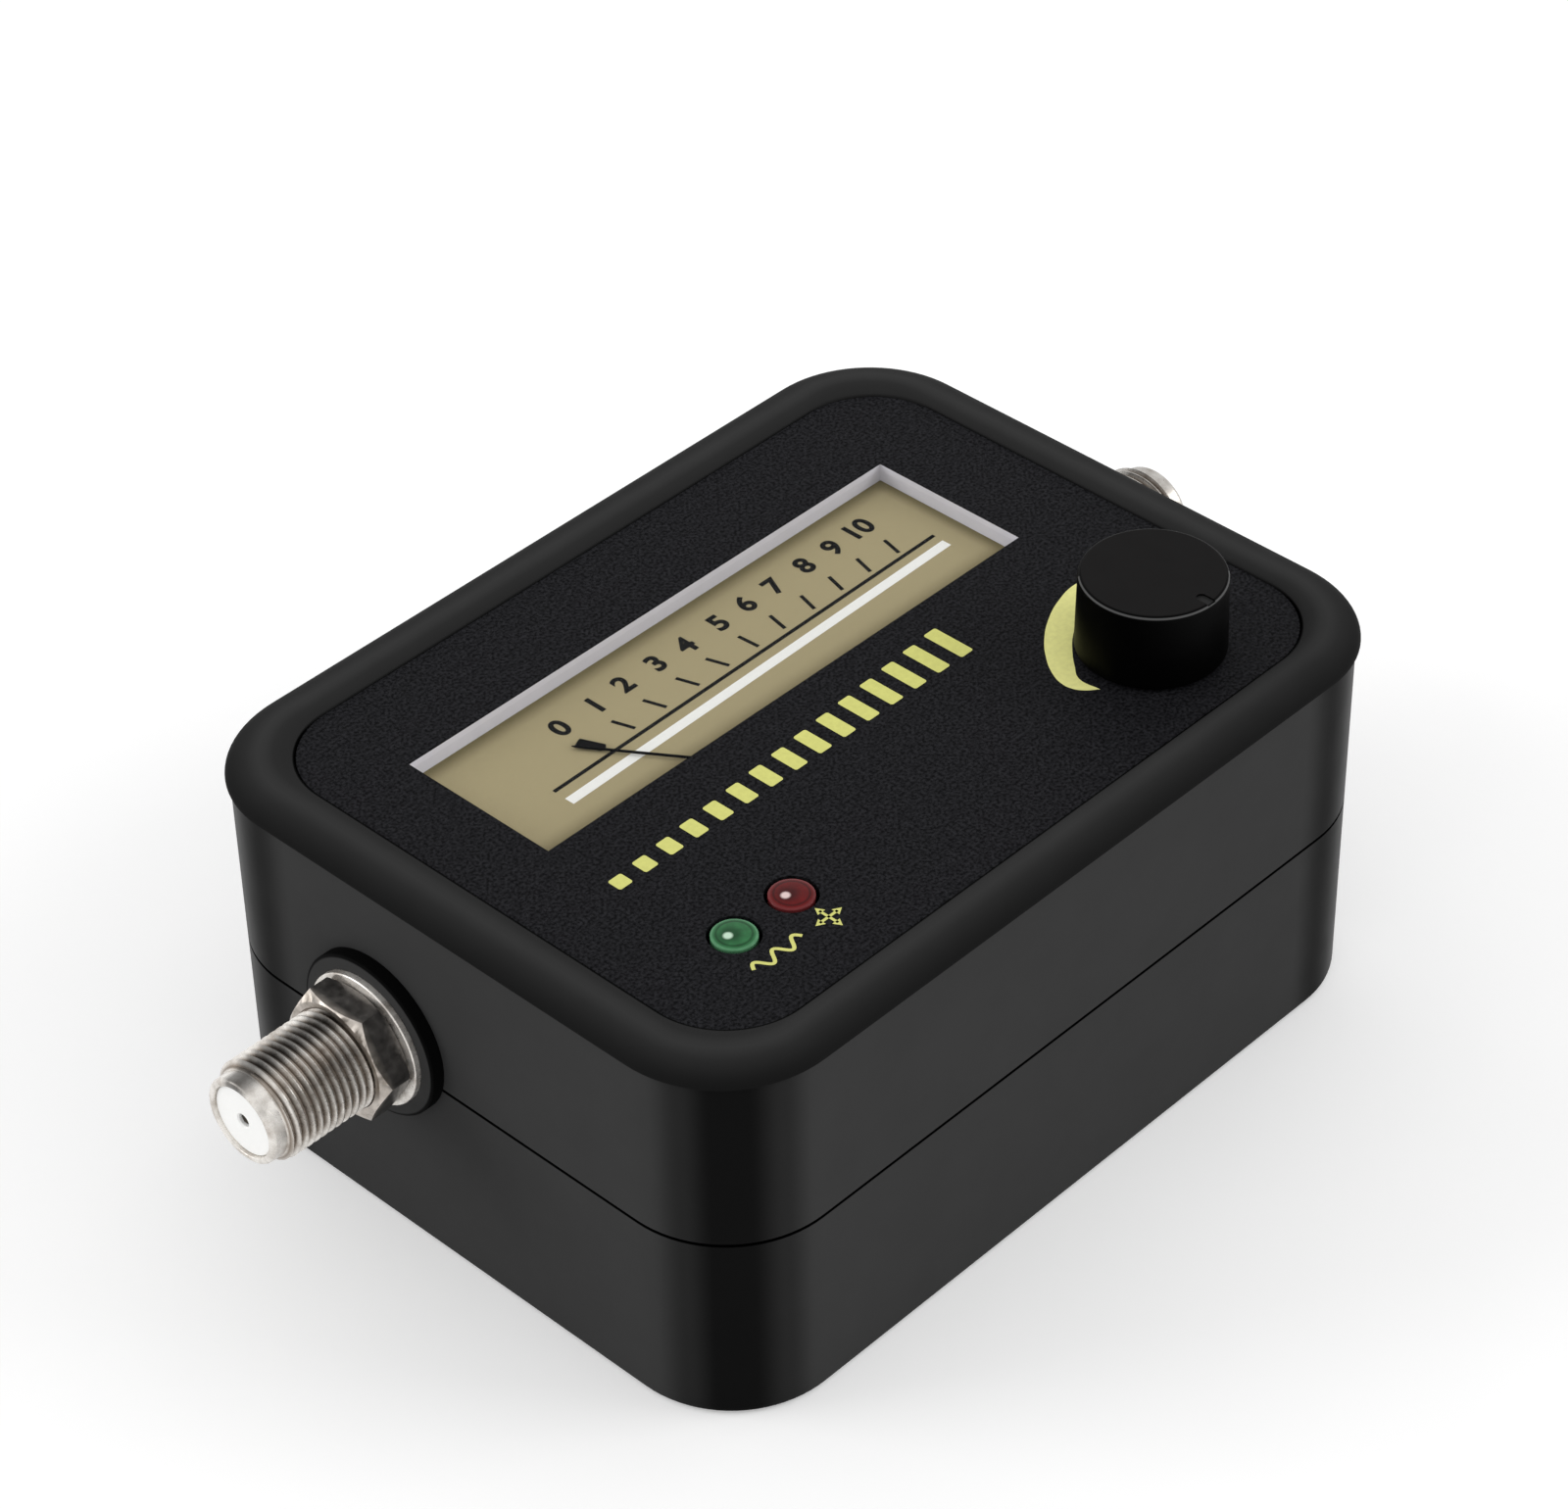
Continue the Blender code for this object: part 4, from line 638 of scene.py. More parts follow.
@dataclass(frozen=True)
class KnobPlastic(MouldedPlastic):
    """Knob plastic: a satin face, a painted highlight on the front of its edge, painted shade in deep black on the
    sides and notch walls, and a grey notch floor.
    """

    # The sides and notch walls carry painted shade in deep black, and the edge band a painted highlight.
    wall: int = 0x010101
    edge: int = 0x545454
    floor: int = 0x2C2C2C
    top: float = 46.3
    edge_from: float = 6.18
    notch_floor: float = 0.22
    highlight_side: float = 45.8

    def tone(self, board: NodeBoard) -> Socket:
        """Give the colour by the depth below the face, and near the edge by the distance from the axis; the sides and
        notch walls get painted shade and the front of the edge a painted highlight.

        Args:
            board: the material's nodes.

        Returns:
            The colour.
        """
        depth = board.past(board.distance((0.0, 0.0, self.top), (0.0, 0.0, 1.0)), 0.0, 1.0)
        low, high = self.notch_floor - 0.05, self.notch_floor + 0.05
        body = board.ramped(depth, ((0.06, self.colour), (0.08, self.wall), (low, self.wall),
                                    (low + 0.02, self.floor), (high - 0.02, self.floor), (high, self.wall)))
        away = board.distance((*KNOB_PLACE, 0.0), (1.0, 1.0, 0.0))
        # Painted highlight: a pale band round the edge, kept to the front side.
        ring = board.ramped(board.past(away, 6.0, 7.0), (
            (0.18, self.wall), (0.35, self.wall), (0.37, self.edge), (0.455, self.edge), (0.475, self.wall)))
        across = board.part(board.placed((*KNOB_PLACE, 0.0), turn=self.highlight_side), "X")
        painted_highlight = board.blended(board.within(across, -1.6, -0.2), linear(self.wall), ring)
        return board.blended(board.past(away, self.edge_from, self.edge_from + 0.03), body, painted_highlight)


@dataclass(frozen=True)
class ShellPlastic(MouldedPlastic):
    """Case plastic, with painted shade over the outer roll of its rim, painted shade and highlights round its corners,
    and painted shade in its seams.
    """

    rim_low: float = 36.6
    rim_width: float = 5.0
    rim_out: float = 0.4
    seam_core: Pair = (30.05, 19.85)
    seam_centre: Pair = (-0.15, -0.65)
    seam_radius: float = 7.93
    # Painted shade in black, in the gap round the front sheet and along the parting line.
    gap_shade_black: int = 0x030303
    parting_shade_half: float = 0.16
    base_plain: float = 0.12
    # Painted light and shade over the rim's roll, from the sheet's edge at 0 to the outer edge at 1: lighter near the
    # crest, darker outwards.
    rim_shade_stops: Stops = ((0.0, 0x2A), (0.15, 0x2C), (0.30, 0x34), (0.42, 0x36), (0.52, 0x32), (0.64, 0x2B),
                        (0.80, 0x24), (0.92, 0x1D), (1.0, 0x19))
    # Painted shade down the corners where X and Y share a sign; on the other two, painted shade on the flanks and a
    # painted highlight between them.
    deep: Stops = ((0.08, 1.0), (0.27, 0.68), (0.42, 0.31), (0.60, 0.31), (0.78, 0.70), (0.95, 1.0))
    shallow_core: Pair = (27.9, 17.6)
    corner_shade_and_highlight: Stops = ((0.06, 1.0), (0.10, 0.92), (0.145, 0.74), (0.185, 0.62), (0.215, 0.62), (0.25, 0.76),
                      (0.285, 0.96), (0.32, 1.22), (0.37, 1.5))

    def tone(self, board: NodeBoard) -> Socket:
        """Give the colour: walls with painted shade and highlights round two kinds of corner, a plain base, the rim
        with its painted shade, and painted shade in its seam and along the parting line.

        Args:
            board: the material's nodes.

        Returns:
            The colour.
        """
        plain, black = linear(self.colour), linear(self.gap_shade_black)
        away, height = board.worked("LENGTH", board.beyond(CASE_CORE)), board.part(board.coords, "Z")
        product = board.counted("MULTIPLY", board.part(board.coords, "X"), board.part(board.coords, "Y"))
        mirrored = tuple((1.0 - place, share) for place, share in reversed(self.corner_shade_and_highlight))
        # Painted shade and highlights round the corners.
        walls = board.blended(board.ranged(product, 0.0, 1.0, -1e-7, 1e-7),
                              self.cornered(board, self.shallow_core, self.corner_shade_and_highlight + mirrored),
                              self.cornered(board, CASE_CORE, self.deep, "EASE"))
        # No painted shade on the base or inside the screw wells.
        under = board.within(height, 0.02, self.base_plain)
        sunk = board.within(away, CASE_CORNER - 2.4, CASE_CORNER - 2.2)
        walls = board.blended(board.counted("MAXIMUM", under, sunk), walls, plain)
        # Painted shade on the rim's outer roll, lighter towards the crest.
        brim = CASE_CORNER + self.rim_out
        rim = board.ramped(board.past(away, brim - self.rim_width, brim),
                           tuple((place, grey * GREY) for place, grey in self.rim_shade_stops))
        # Painted shade in the gap between the rim and the front sheet.
        inside = board.worked("LENGTH", board.beyond(self.seam_core, self.seam_centre))
        rim = board.blended(board.within(inside, self.seam_radius + 0.06, self.seam_radius + 0.15), rim, black)
        high = board.past(height, self.rim_low - 0.12, self.rim_low + 0.06)
        # Painted shade along the parting line between the two shells.
        level = board.distance((0.0, 0.0, PARTING), (0.0, 0.0, 1.0))
        return board.blended(board.within(level, self.parting_shade_half, self.parting_shade_half + 0.02),
                             board.blended(high, walls, rim), black)

    def cornered(self, board: NodeBoard, core: Pair, stops: Stops, easing: str = "LINEAR") -> Socket:
        """Give the walls' colour, with painted shade and highlights, by how far round a corner a point lies.

        Args:
            board: the material's nodes.
            core: half sizes of the rectangle from which the turn is taken.
            stops: places from an end wall to the front or back, with shares of the plain display value.
            easing: how the colour runs between them.

        Returns:
            The colour.
        """
        out = board.beyond(core)
        turn = board.counted("ARCTAN2", board.part(out, "Y"), board.part(out, "X"))
        codes = tuple((place, round((self.colour & 255) * share) * GREY) for place, share in stops)
        return board.ramped(board.ranged(turn, 0.0, 1.0, 0.0, math.pi / 2), codes, easing)


@dataclass(frozen=True)
class GrainedSheet:
    """Printed sheet with a coarse pebble grain, as on a polycarbonate overlay."""

    name: str
    dark: int
    light: int
    grain: float = 0.30
    grain_depth: float = 0.020
    roughness: float = 0.62
    shine: float = 0.05

    def made(self) -> Finish:
        """Build the material.

        Returns:
            The material.
        """
        board = NodeBoard(self.name)
        pebble = board.noise(self.grain, 2.0, 0.55)
        tone = board.blended(board.ranged(pebble, 0.0, 1.0, 0.36, 0.62), linear(self.dark), linear(self.light))
        colour = board.blended(board.ranged(board.noise(1.1), 0.0, 0.35), tone, linear(self.dark))
        gloss = board.ranged(pebble, self.roughness + 0.1, self.roughness - 0.08)
        return board.dressed(colour, gloss, pebble, self.grain_depth, Specular_IOR_Level=self.shine)


@dataclass(frozen=True)
class PrintingInk:
    """Screen-printed ink, a little uneven and a little raised."""

    name: str
    colour: int
    roughness: float = 0.55
    uneven: float = 0.10

    def made(self) -> Finish:
        """Build the material.

        Returns:
            The material.
        """
        board = NodeBoard(self.name)
        patch = board.noise(0.5, 3.0)
        colour = board.blended(board.ranged(patch, 0.0, 1.0), linear(self.colour, 1.0 - self.uneven),
                               linear(self.colour))
        gloss = board.ranged(patch, self.roughness - 0.05, self.roughness + 0.08)
        return board.dressed(colour, gloss, board.noise(0.22), 0.004, Specular_IOR_Level=0.08)


@dataclass(frozen=True)
class DialCard:
    """Printed dial card: khaki, with soft painted shade towards three of its edges."""

    name: str
    colour: int
    # The colour of the painted shade near the edges.
    shade: int

    def made(self) -> Finish:
        """Build the material.

        Returns:
            The material.
        """
        board = NodeBoard(self.name)
        _, right, front, back = WINDOW
        tone: Colour | Socket = linear(self.colour)
        # Painted shade towards the front, back and right edges.
        for letter, start, end in (("Y", front + 3.4, front + 0.4), ("Y", back - 1.9, back),
                                   ("X", right - 1.6, right)):
            share = board.ranged(board.part(board.placed(), letter), 0.0, 1.0, start, end, "SMOOTHSTEP")
            tone = board.blended(share, tone, linear(self.shade))
        fibre = board.noise(0.35, 4.0, 0.6)
        return board.dressed(board.varied(tone, fibre, 0.03), board.ranged(fibre, 0.58, 0.68), fibre, 0.004,
                             Specular_IOR_Level=0.1)


@dataclass(frozen=True)
class PlatedMetal:
    """Plated or machined metal: fine turning marks, soft stains and a changing gloss."""

    name: str
    bright: int
    stained: int
    roughness: float = 0.2
    marks: float = 0.10
    mark_depth: float = 0.0022
    stretch: Triple = (1.0, 1.0, 1.0)
    stain_size: float = 1.6
    metallic: float = 1.0

    def tone(self, board: NodeBoard, stain: Socket) -> Socket:
        """Give the metal's colour with its stains."""
        return board.blended(board.ranged(stain, 0.0, 1.0, 0.42, 0.72), linear(self.bright), linear(self.stained))

    def made(self) -> Finish:
        """Build the material.

        Returns:
            The material.
        """
        board = NodeBoard(self.name)
        colour = self.tone(board, board.noise(self.stain_size, 4.0, 0.6))
        gloss = board.ranged(board.noise(0.7, 4.0), self.roughness - 0.06, self.roughness + 0.10)
        marks = board.noise(self.marks, 3.0, stretch=self.stretch)
        return board.dressed(colour, gloss, marks, self.mark_depth, Metallic=self.metallic)


@dataclass(frozen=True)
class ThreadNickel(PlatedMetal):
    """Nickel of a threaded socket body, with grime and painted shade in the grooves and painted reflections as dark
    streaks along the axis.
    """

    # Painted reflections: stops of dark streaks by the turn round the axis, out to a radius.
    reflection_streaks: Stops = ()
    reflection_streak_end: float = 5.0
    # Radii of the grime with painted shade in the thread's grooves.
    groove: Pair = (4.14, 4.30)
    crest: Pair = (4.32, 4.60)
    grime_and_shade_colour: int = 0x8C8074

    def tone(self, board: NodeBoard, stain: Socket) -> Socket:
        """Give the colour: stains, then grime with painted shade in the grooves, then painted reflections as streaks
        by the turn round the axis.

        Args:
            board: the material's nodes.
            stain: the pattern of the stains.

        Returns:
            The colour.
        """
        away = board.distance((0.0, *SOCKET_AXIS), (0.0, 1.0, 1.0))
        # Grime and painted shade in the grooves.
        grime_and_shade = board.counted("MULTIPLY", board.past(away, *self.groove), board.within(away, *self.crest))
        colour = board.blended(grime_and_shade, super().tone(board, stain), linear(self.grime_and_shade_colour))
        # Painted reflections as streaks by the turn round the axis.
        out = board.worked("SUBTRACT", board.coords, (0.0, SOCKET_AXIS[0] * MM, SOCKET_AXIS[1] * MM))
        turn = board.counted("ARCTAN2", board.part(out, "Z"), board.part(out, "Y"))
        share = board.ramped(board.ranged(turn, 0.0, 1.0, -math.pi, math.pi), self.reflection_streaks)
        share = board.blended(board.past(away, self.reflection_streak_end, self.reflection_streak_end * 1.02), share, WHITE)
        return board.blended(1.0, colour, share, "MULTIPLY")


@dataclass(frozen=True)
class NutNickel(PlatedMetal):
    """Brushed nickel of a nut, with darker flanks behind its front face."""

    front: float = 47.5
    front_depth: Pair = (0.35, 0.85)
    flank: int = 0x73706D

    def tone(self, board: NodeBoard, stain: Socket) -> Socket:
        """Give the colour by the depth behind the front, on either side.

        Args:
            board: the material's nodes.
            stain: the pattern of the stains.

        Returns:
            The colour.
        """
        inward = board.worked("SUBTRACT", board.worked("ABSOLUTE", board.coords), (self.front * MM, 0.0, 0.0))
        depth = board.worked("LENGTH", board.worked("MULTIPLY", inward, (1.0, 0.0, 0.0)))
        return board.blended(board.past(depth, *self.front_depth), super().tone(board, stain),
                             board.varied(linear(self.flank), stain, 0.3))


@dataclass(frozen=True)
class TintedResin:
    """Clear tinted resin of a round lamp: a pale rim, a deep ring, a patch of painted shade and a painted glint near
    the centre.
    """

    name: str
    rim: int
    ring: int
    deep: int
    painted_glint: int
    centre: Pair
    radius: float = 1.97
    # Painted glint near the centre and a patch of painted shade, each a spot off the centre.
    core: tuple[Pair, float] = ((-0.58, 0.14), 0.56)
    shade: tuple[Pair, float] = ((-0.34, 0.12), 1.35)

    def spot(self, board: NodeBoard, shift: Pair, radius: float) -> Socket:
        """Give a round spot off the lamp's centre, 1 at its middle and 0 at its radius, at any height."""
        place = board.placed((self.centre[0] + shift[0], self.centre[1] + shift[1], 0.0), (radius, radius, 1000.0))
        return board.add("TexGradient", {"Vector": place}, "Fac", gradient_type="SPHERICAL")

    def made(self) -> Finish:
        """Build the material.

        Returns:
            The material.
        """
        board = NodeBoard(self.name)
        body = board.ramped(self.spot(board, (0.0, 0.0), self.radius), (
            (0.0, self.rim), (0.07, self.rim), (0.15, self.ring), (0.24, self.deep), (0.34, self.ring),
            (1.0, self.ring)), "EASE")
        cloud = board.noise(0.8, 3.0)
        # Painted shade over one patch, then the painted glint.
        shade = board.ranged(self.spot(board, *self.shade), 0.0, 1.0, 0.1, 0.6)
        body = board.blended(shade, body, linear(self.deep))
        core = board.ranged(self.spot(board, *self.core), 0.0, 1.0, 0.12, 0.5)
        colour = board.blended(core, board.varied(body, cloud, 0.18), linear(self.painted_glint))
        return board.dressed(colour, board.ranged(cloud, 0.14, 0.22), cloud, 0.010, Specular_IOR_Level=0.14)


@dataclass(frozen=True)
class ClearPane:
    """Clear cast window that only shows as a faint sheen."""

    name: str
    alpha: float = 0.025

    def made(self) -> Finish:
        """Build the material.

        Returns:
            The material.
        """
        board = NodeBoard(self.name)
        board.owner.surface_render_method = "BLENDED"
        smear = board.noise(5.0, 3.0)
        colour = board.blended(smear, linear(0x606468), linear(0x50545A))
        return board.dressed(colour, board.ranged(smear, 0.05, 0.12), board.noise(9.0, 1.0), 0.01,
                             Alpha=self.alpha, Specular_IOR_Level=0.4)


@dataclass(frozen=True)
class WoundWire:
    """Enamelled wire wound side by side."""

    name: str
    bright: int
    dark: int
    pitch: float = 0.16

    def made(self) -> Finish:
        """Build the material.

        Returns:
            The material.
        """
        board = NodeBoard(self.name)
        wave = board.add("TexWave", {"Vector": board.placed(size=(self.pitch,) * 3), "Scale": 0.5,
                                     "Distortion": 0.4, "Detail": 1.0}, "Fac", bands_direction="Z")
        return board.dressed(board.blended(wave, linear(self.dark), linear(self.bright)),
                             board.ranged(board.noise(0.8), 0.26, 0.38), wave, 0.03, Metallic=0.8)


@dataclass(frozen=True)
class BoardLaminate:
    """Circuit board laminate: solder mask over a glass weave, with buried tracks."""

    name: str
    mask: int
    track: int

    def made(self) -> Finish:
        """Build the material.

        Returns:
            The material.
        """
        board = NodeBoard(self.name)
        bricks = board.add("TexBrick", {
            "Vector": board.placed(size=(3.2, 2.1, 3.2)), "Scale": 1.0, "Mortar Size": 0.06, "Bias": 0.0,
            "Color1": WHITE, "Color2": BLACK, "Mortar": BLACK}, "Color")
        weave = board.add("TexWave", {"Vector": board.placed(size=(0.5, 0.5, 0.5)), "Scale": 0.5,
                                      "Distortion": 0.2, "Detail": 1.0}, "Fac")
        return board.dressed(board.blended(bricks, linear(self.mask), linear(self.track)),
                             board.ranged(board.noise(1.5), 0.3, 0.42), weave, 0.01)


@dataclass
class CaseShells:
    """The two half shells of the case, which meet at a fine line round the walls."""

    material: Finish
    outline: RoundedOutline = RoundedOutline(85.0, 64.4, CASE_CORNER)
    sheet_edge: RoundedOutline = RoundedOutline(75.96, 55.56, 7.93, -0.5)
    wall: float = 2.2
    floor: float = 2.2
    base_edge: float = 0.8
    part_low: float = 19.46
    part_high: float = 19.74
    part_edge: float = 0.03
    lip_top: float = 21.2
    lip_inset: float = 1.3
    ceiling: float = 35.9
    panel: float = 37.8
    rim_base: float = 37.0
    rim_crest: float = 38.85
    rim_inner: float = 38.5
    rim_out: float = 0.4
    crest_share: float = 0.74
    post: Pair = (34.7, 24.4)
    post_radius: float = 4.1
    post_bore: Pair = (1.5, 27.75)
    well_radius: float = 3.1
    well_depth: float = 9.0
    screw_hole: float = 1.7
    pillars: tuple[Pair, ...] = ((-36.2, -12.0), (36.2, -12.0), (-26.0, 23.5), (26.0, 23.5))
    pillar_radius: float = 2.6
    pillar_low: float = 29.3
    pillar_bore: Pair = (1.05, 33.6)
    openings: tuple[tuple[float, ...], ...] = ((-31.2, 29.6, -2.05, 18.1), (-6.8, 11.2, -26.9, -2.0))
    socket_hole: float = 4.96

    def post_places(self) -> list[Pair]:
        """Give the four screw posts' places."""
        return [(x * self.post[0], y * self.post[1]) for x in (-1, 1) for y in (-1, 1)]

    def rim_rings(self) -> list[tuple[RoundedOutline, float]]:
        """Give the rings of the rim, from its underside over the crest to the label's edge.

        Returns:
            Outlines with their heights.
        """
        outer = self.outline.grown(self.rim_out)
        rings = [(self.outline, self.rim_base - 0.34), (self.outline.grown(0.03), self.rim_base - 0.22),
                 (self.outline.grown(self.rim_out * 0.32), self.rim_base - 0.10),
                 (self.outline.grown(self.rim_out * 0.8), self.rim_base - 0.03)]
        rise = arc((self.crest_share, 0.0), (-self.crest_share, self.rim_crest - self.rim_base), 0.0, 90.0, 22)
        fall = arc((self.crest_share, 0.0), (1.0 - self.crest_share, self.rim_crest - self.rim_inner), 90.0, 0.0, 8)
        for base, points in ((self.rim_base, rise), (self.rim_inner, fall[1:])):
            rings += [(outer.towards(self.sheet_edge, share), base + height) for share, height in points]
        return rings + [(self.sheet_edge.grown(-0.02), self.rim_inner - 0.08), (self.sheet_edge, self.panel)]

    def drilled(self, shell: Blank) -> Blank:
        """Cut both socket holes into a shell.

        Args:
            shell: the shell.

        Returns:
            The same shell.
        """
        reach = self.outline.length / 2 + 2.0
        return shell.combined(Blank("drill").column(self.socket_hole, -reach, reach).moved(
            put(0.0, *SOCKET_AXIS, 90.0, "Y")))

    def top(self) -> None:
        """Build the upper half with its rim, posts and openings."""
        rebate = self.outline.grown(-(self.wall - 0.9 - 0.2))
        inner = self.outline.grown(-self.wall)
        rings = [(inner, self.ceiling), (inner, self.lip_top + 0.2), (rebate, self.lip_top + 0.2),
                 (rebate, self.part_high), (self.outline.grown(-self.part_edge), self.part_high),
                 (self.outline, self.part_high + self.part_edge)]
        shell = Blank("case_top_shell").loft(rings + self.rim_rings())
        posts, holes = Blank("top_posts"), Blank("top_holes")
        root, under, over = self.ceiling + 0.9, self.ceiling - 0.9, self.panel + 0.8
        for place in self.post_places():
            posts.column(self.post_radius, self.part_high + 0.04, root, place)
            holes.column(self.post_bore[0], self.part_low - 0.5, self.post_bore[1], place, 24)
        for place in self.pillars:
            posts.column(self.pillar_radius, self.pillar_low, root, place, 32)
            holes.column(self.pillar_bore[0], self.pillar_low - 1.0, self.pillar_bore[1], place, 24)
        for place in (GREEN_LAMP, RED_LAMP):
            holes.column(LAMP_HOLE, under, over, place)
        holes.column(KNOB_HOLE, under, over, KNOB_PLACE)
        shell.combined(posts, Combine.UNITE).combined(holes)
        self.drilled(shell)
        for left, right, front, back in self.openings:
            shell.combined(Blank("opening").block((left, front, under), (right, back, over)))
        shell.finished(self.material, "shell_black", "case_top", weighted=True)

    def bottom(self) -> None:
        """Build the lower half with its lip, posts and screw wells."""
        inner, lip = self.outline.grown(-self.wall), self.outline.grown(-self.lip_inset)
        rings = [(inner, self.floor), (inner, self.lip_top), (lip, self.lip_top), (lip, self.part_low),
                 (self.outline.grown(-self.part_edge), self.part_low),
                 (self.outline, self.part_low - self.part_edge)]
        rings += [(self.outline.grown(-inset), height) for inset, height in arc(
            (self.base_edge, self.base_edge), (self.base_edge, self.base_edge), 180.0, 270.0, 8)]
        shell = Blank("case_bottom_shell").loft(rings)
        posts, wells = Blank("bottom_posts"), Blank("screw_wells")
        well = [(0.0, -1.0), (self.well_radius + 1.35, -1.0), (self.well_radius, 0.35),
                (self.well_radius, self.well_depth), (self.screw_hole, self.well_depth),
                (self.screw_hole, 25.0), (0.0, 25.0)]
        for place in self.post_places():
            posts.column(self.post_radius, self.floor / 2, self.part_low, place)
            wells.added(Blank("well").turned(well, 64).moved(put(*place)))
        self.drilled(shell.combined(posts, Combine.UNITE).combined(wells))
        shell.finished(self.material, "shell_black", "case_bottom", weighted=True)


@dataclass
class CaseScrews:
    """The four pan-head screws that hold the case together from below."""

    material: Finish
    head_radius: float = 2.8
    head_height: float = 1.9
    seat: float = 8.9
    shank_radius: float = 1.4
    length: float = 16.0
    pitch: float = 1.1

    def head(self, name: str) -> Blank:
        """Build the domed head with its cross recess, the seat at height 0 and the dome below.

        Args:
            name: the screw's name.

        Returns:
            The head.
        """
        dome = arc((self.head_radius - 1.5, -self.head_height + 1.5), (1.5, 1.5), -90.0, 0.0, 8)
        head = Blank(name).turned([(0.0, -self.head_height), *dome, (self.head_radius, 0.0), (0.0, 0.0)], 64)
        half, reach, low, high = 0.42, 1.68, -self.head_height - 1.0, -0.75
        recess = Blank("recess").block((-reach, -half, low), (reach, half, high))
        recess.combined(Blank("slot").block((-half, -reach, low), (half, reach, high)), Combine.UNITE)
        recess.combined(Blank("taper").column(0.85, low, high, steps=32, top_radius=0.5), Combine.UNITE)
        return head.combined(recess).softened(0.05, 60.0)

    def shank(self) -> Blank:
        """Build the threaded shank with its point.

        Returns:
            The shank.
        """
        shank = Blank("shank").turned([(0.0, self.length), (0.7, self.length - 1.0), (1.05, self.length - 1.4),
                                       (1.05, -0.1), (0.0, -0.1)], 24)
        turns = int((self.length - 3.0) / self.pitch)
        ridge = Blank("ridge").thread(0.98, self.shank_radius, self.pitch, turns, 24)
        return shank.added(ridge.moved(put(0.0, 0.0, 1.2)))

    def build(self, places: list[Pair]) -> None:
        """Build a screw at each place.

        Args:
            places: the screws' axes in the plan.
        """
        for number, place in enumerate(places, start=1):
            name = "case_screw_%d" % number
            screw = self.head(name + "_turned").added(self.shank())
            screw.moved(put(*place, self.seat, 17.0 + 31.0 * number))
            screw.finished(self.material, "steel", name)


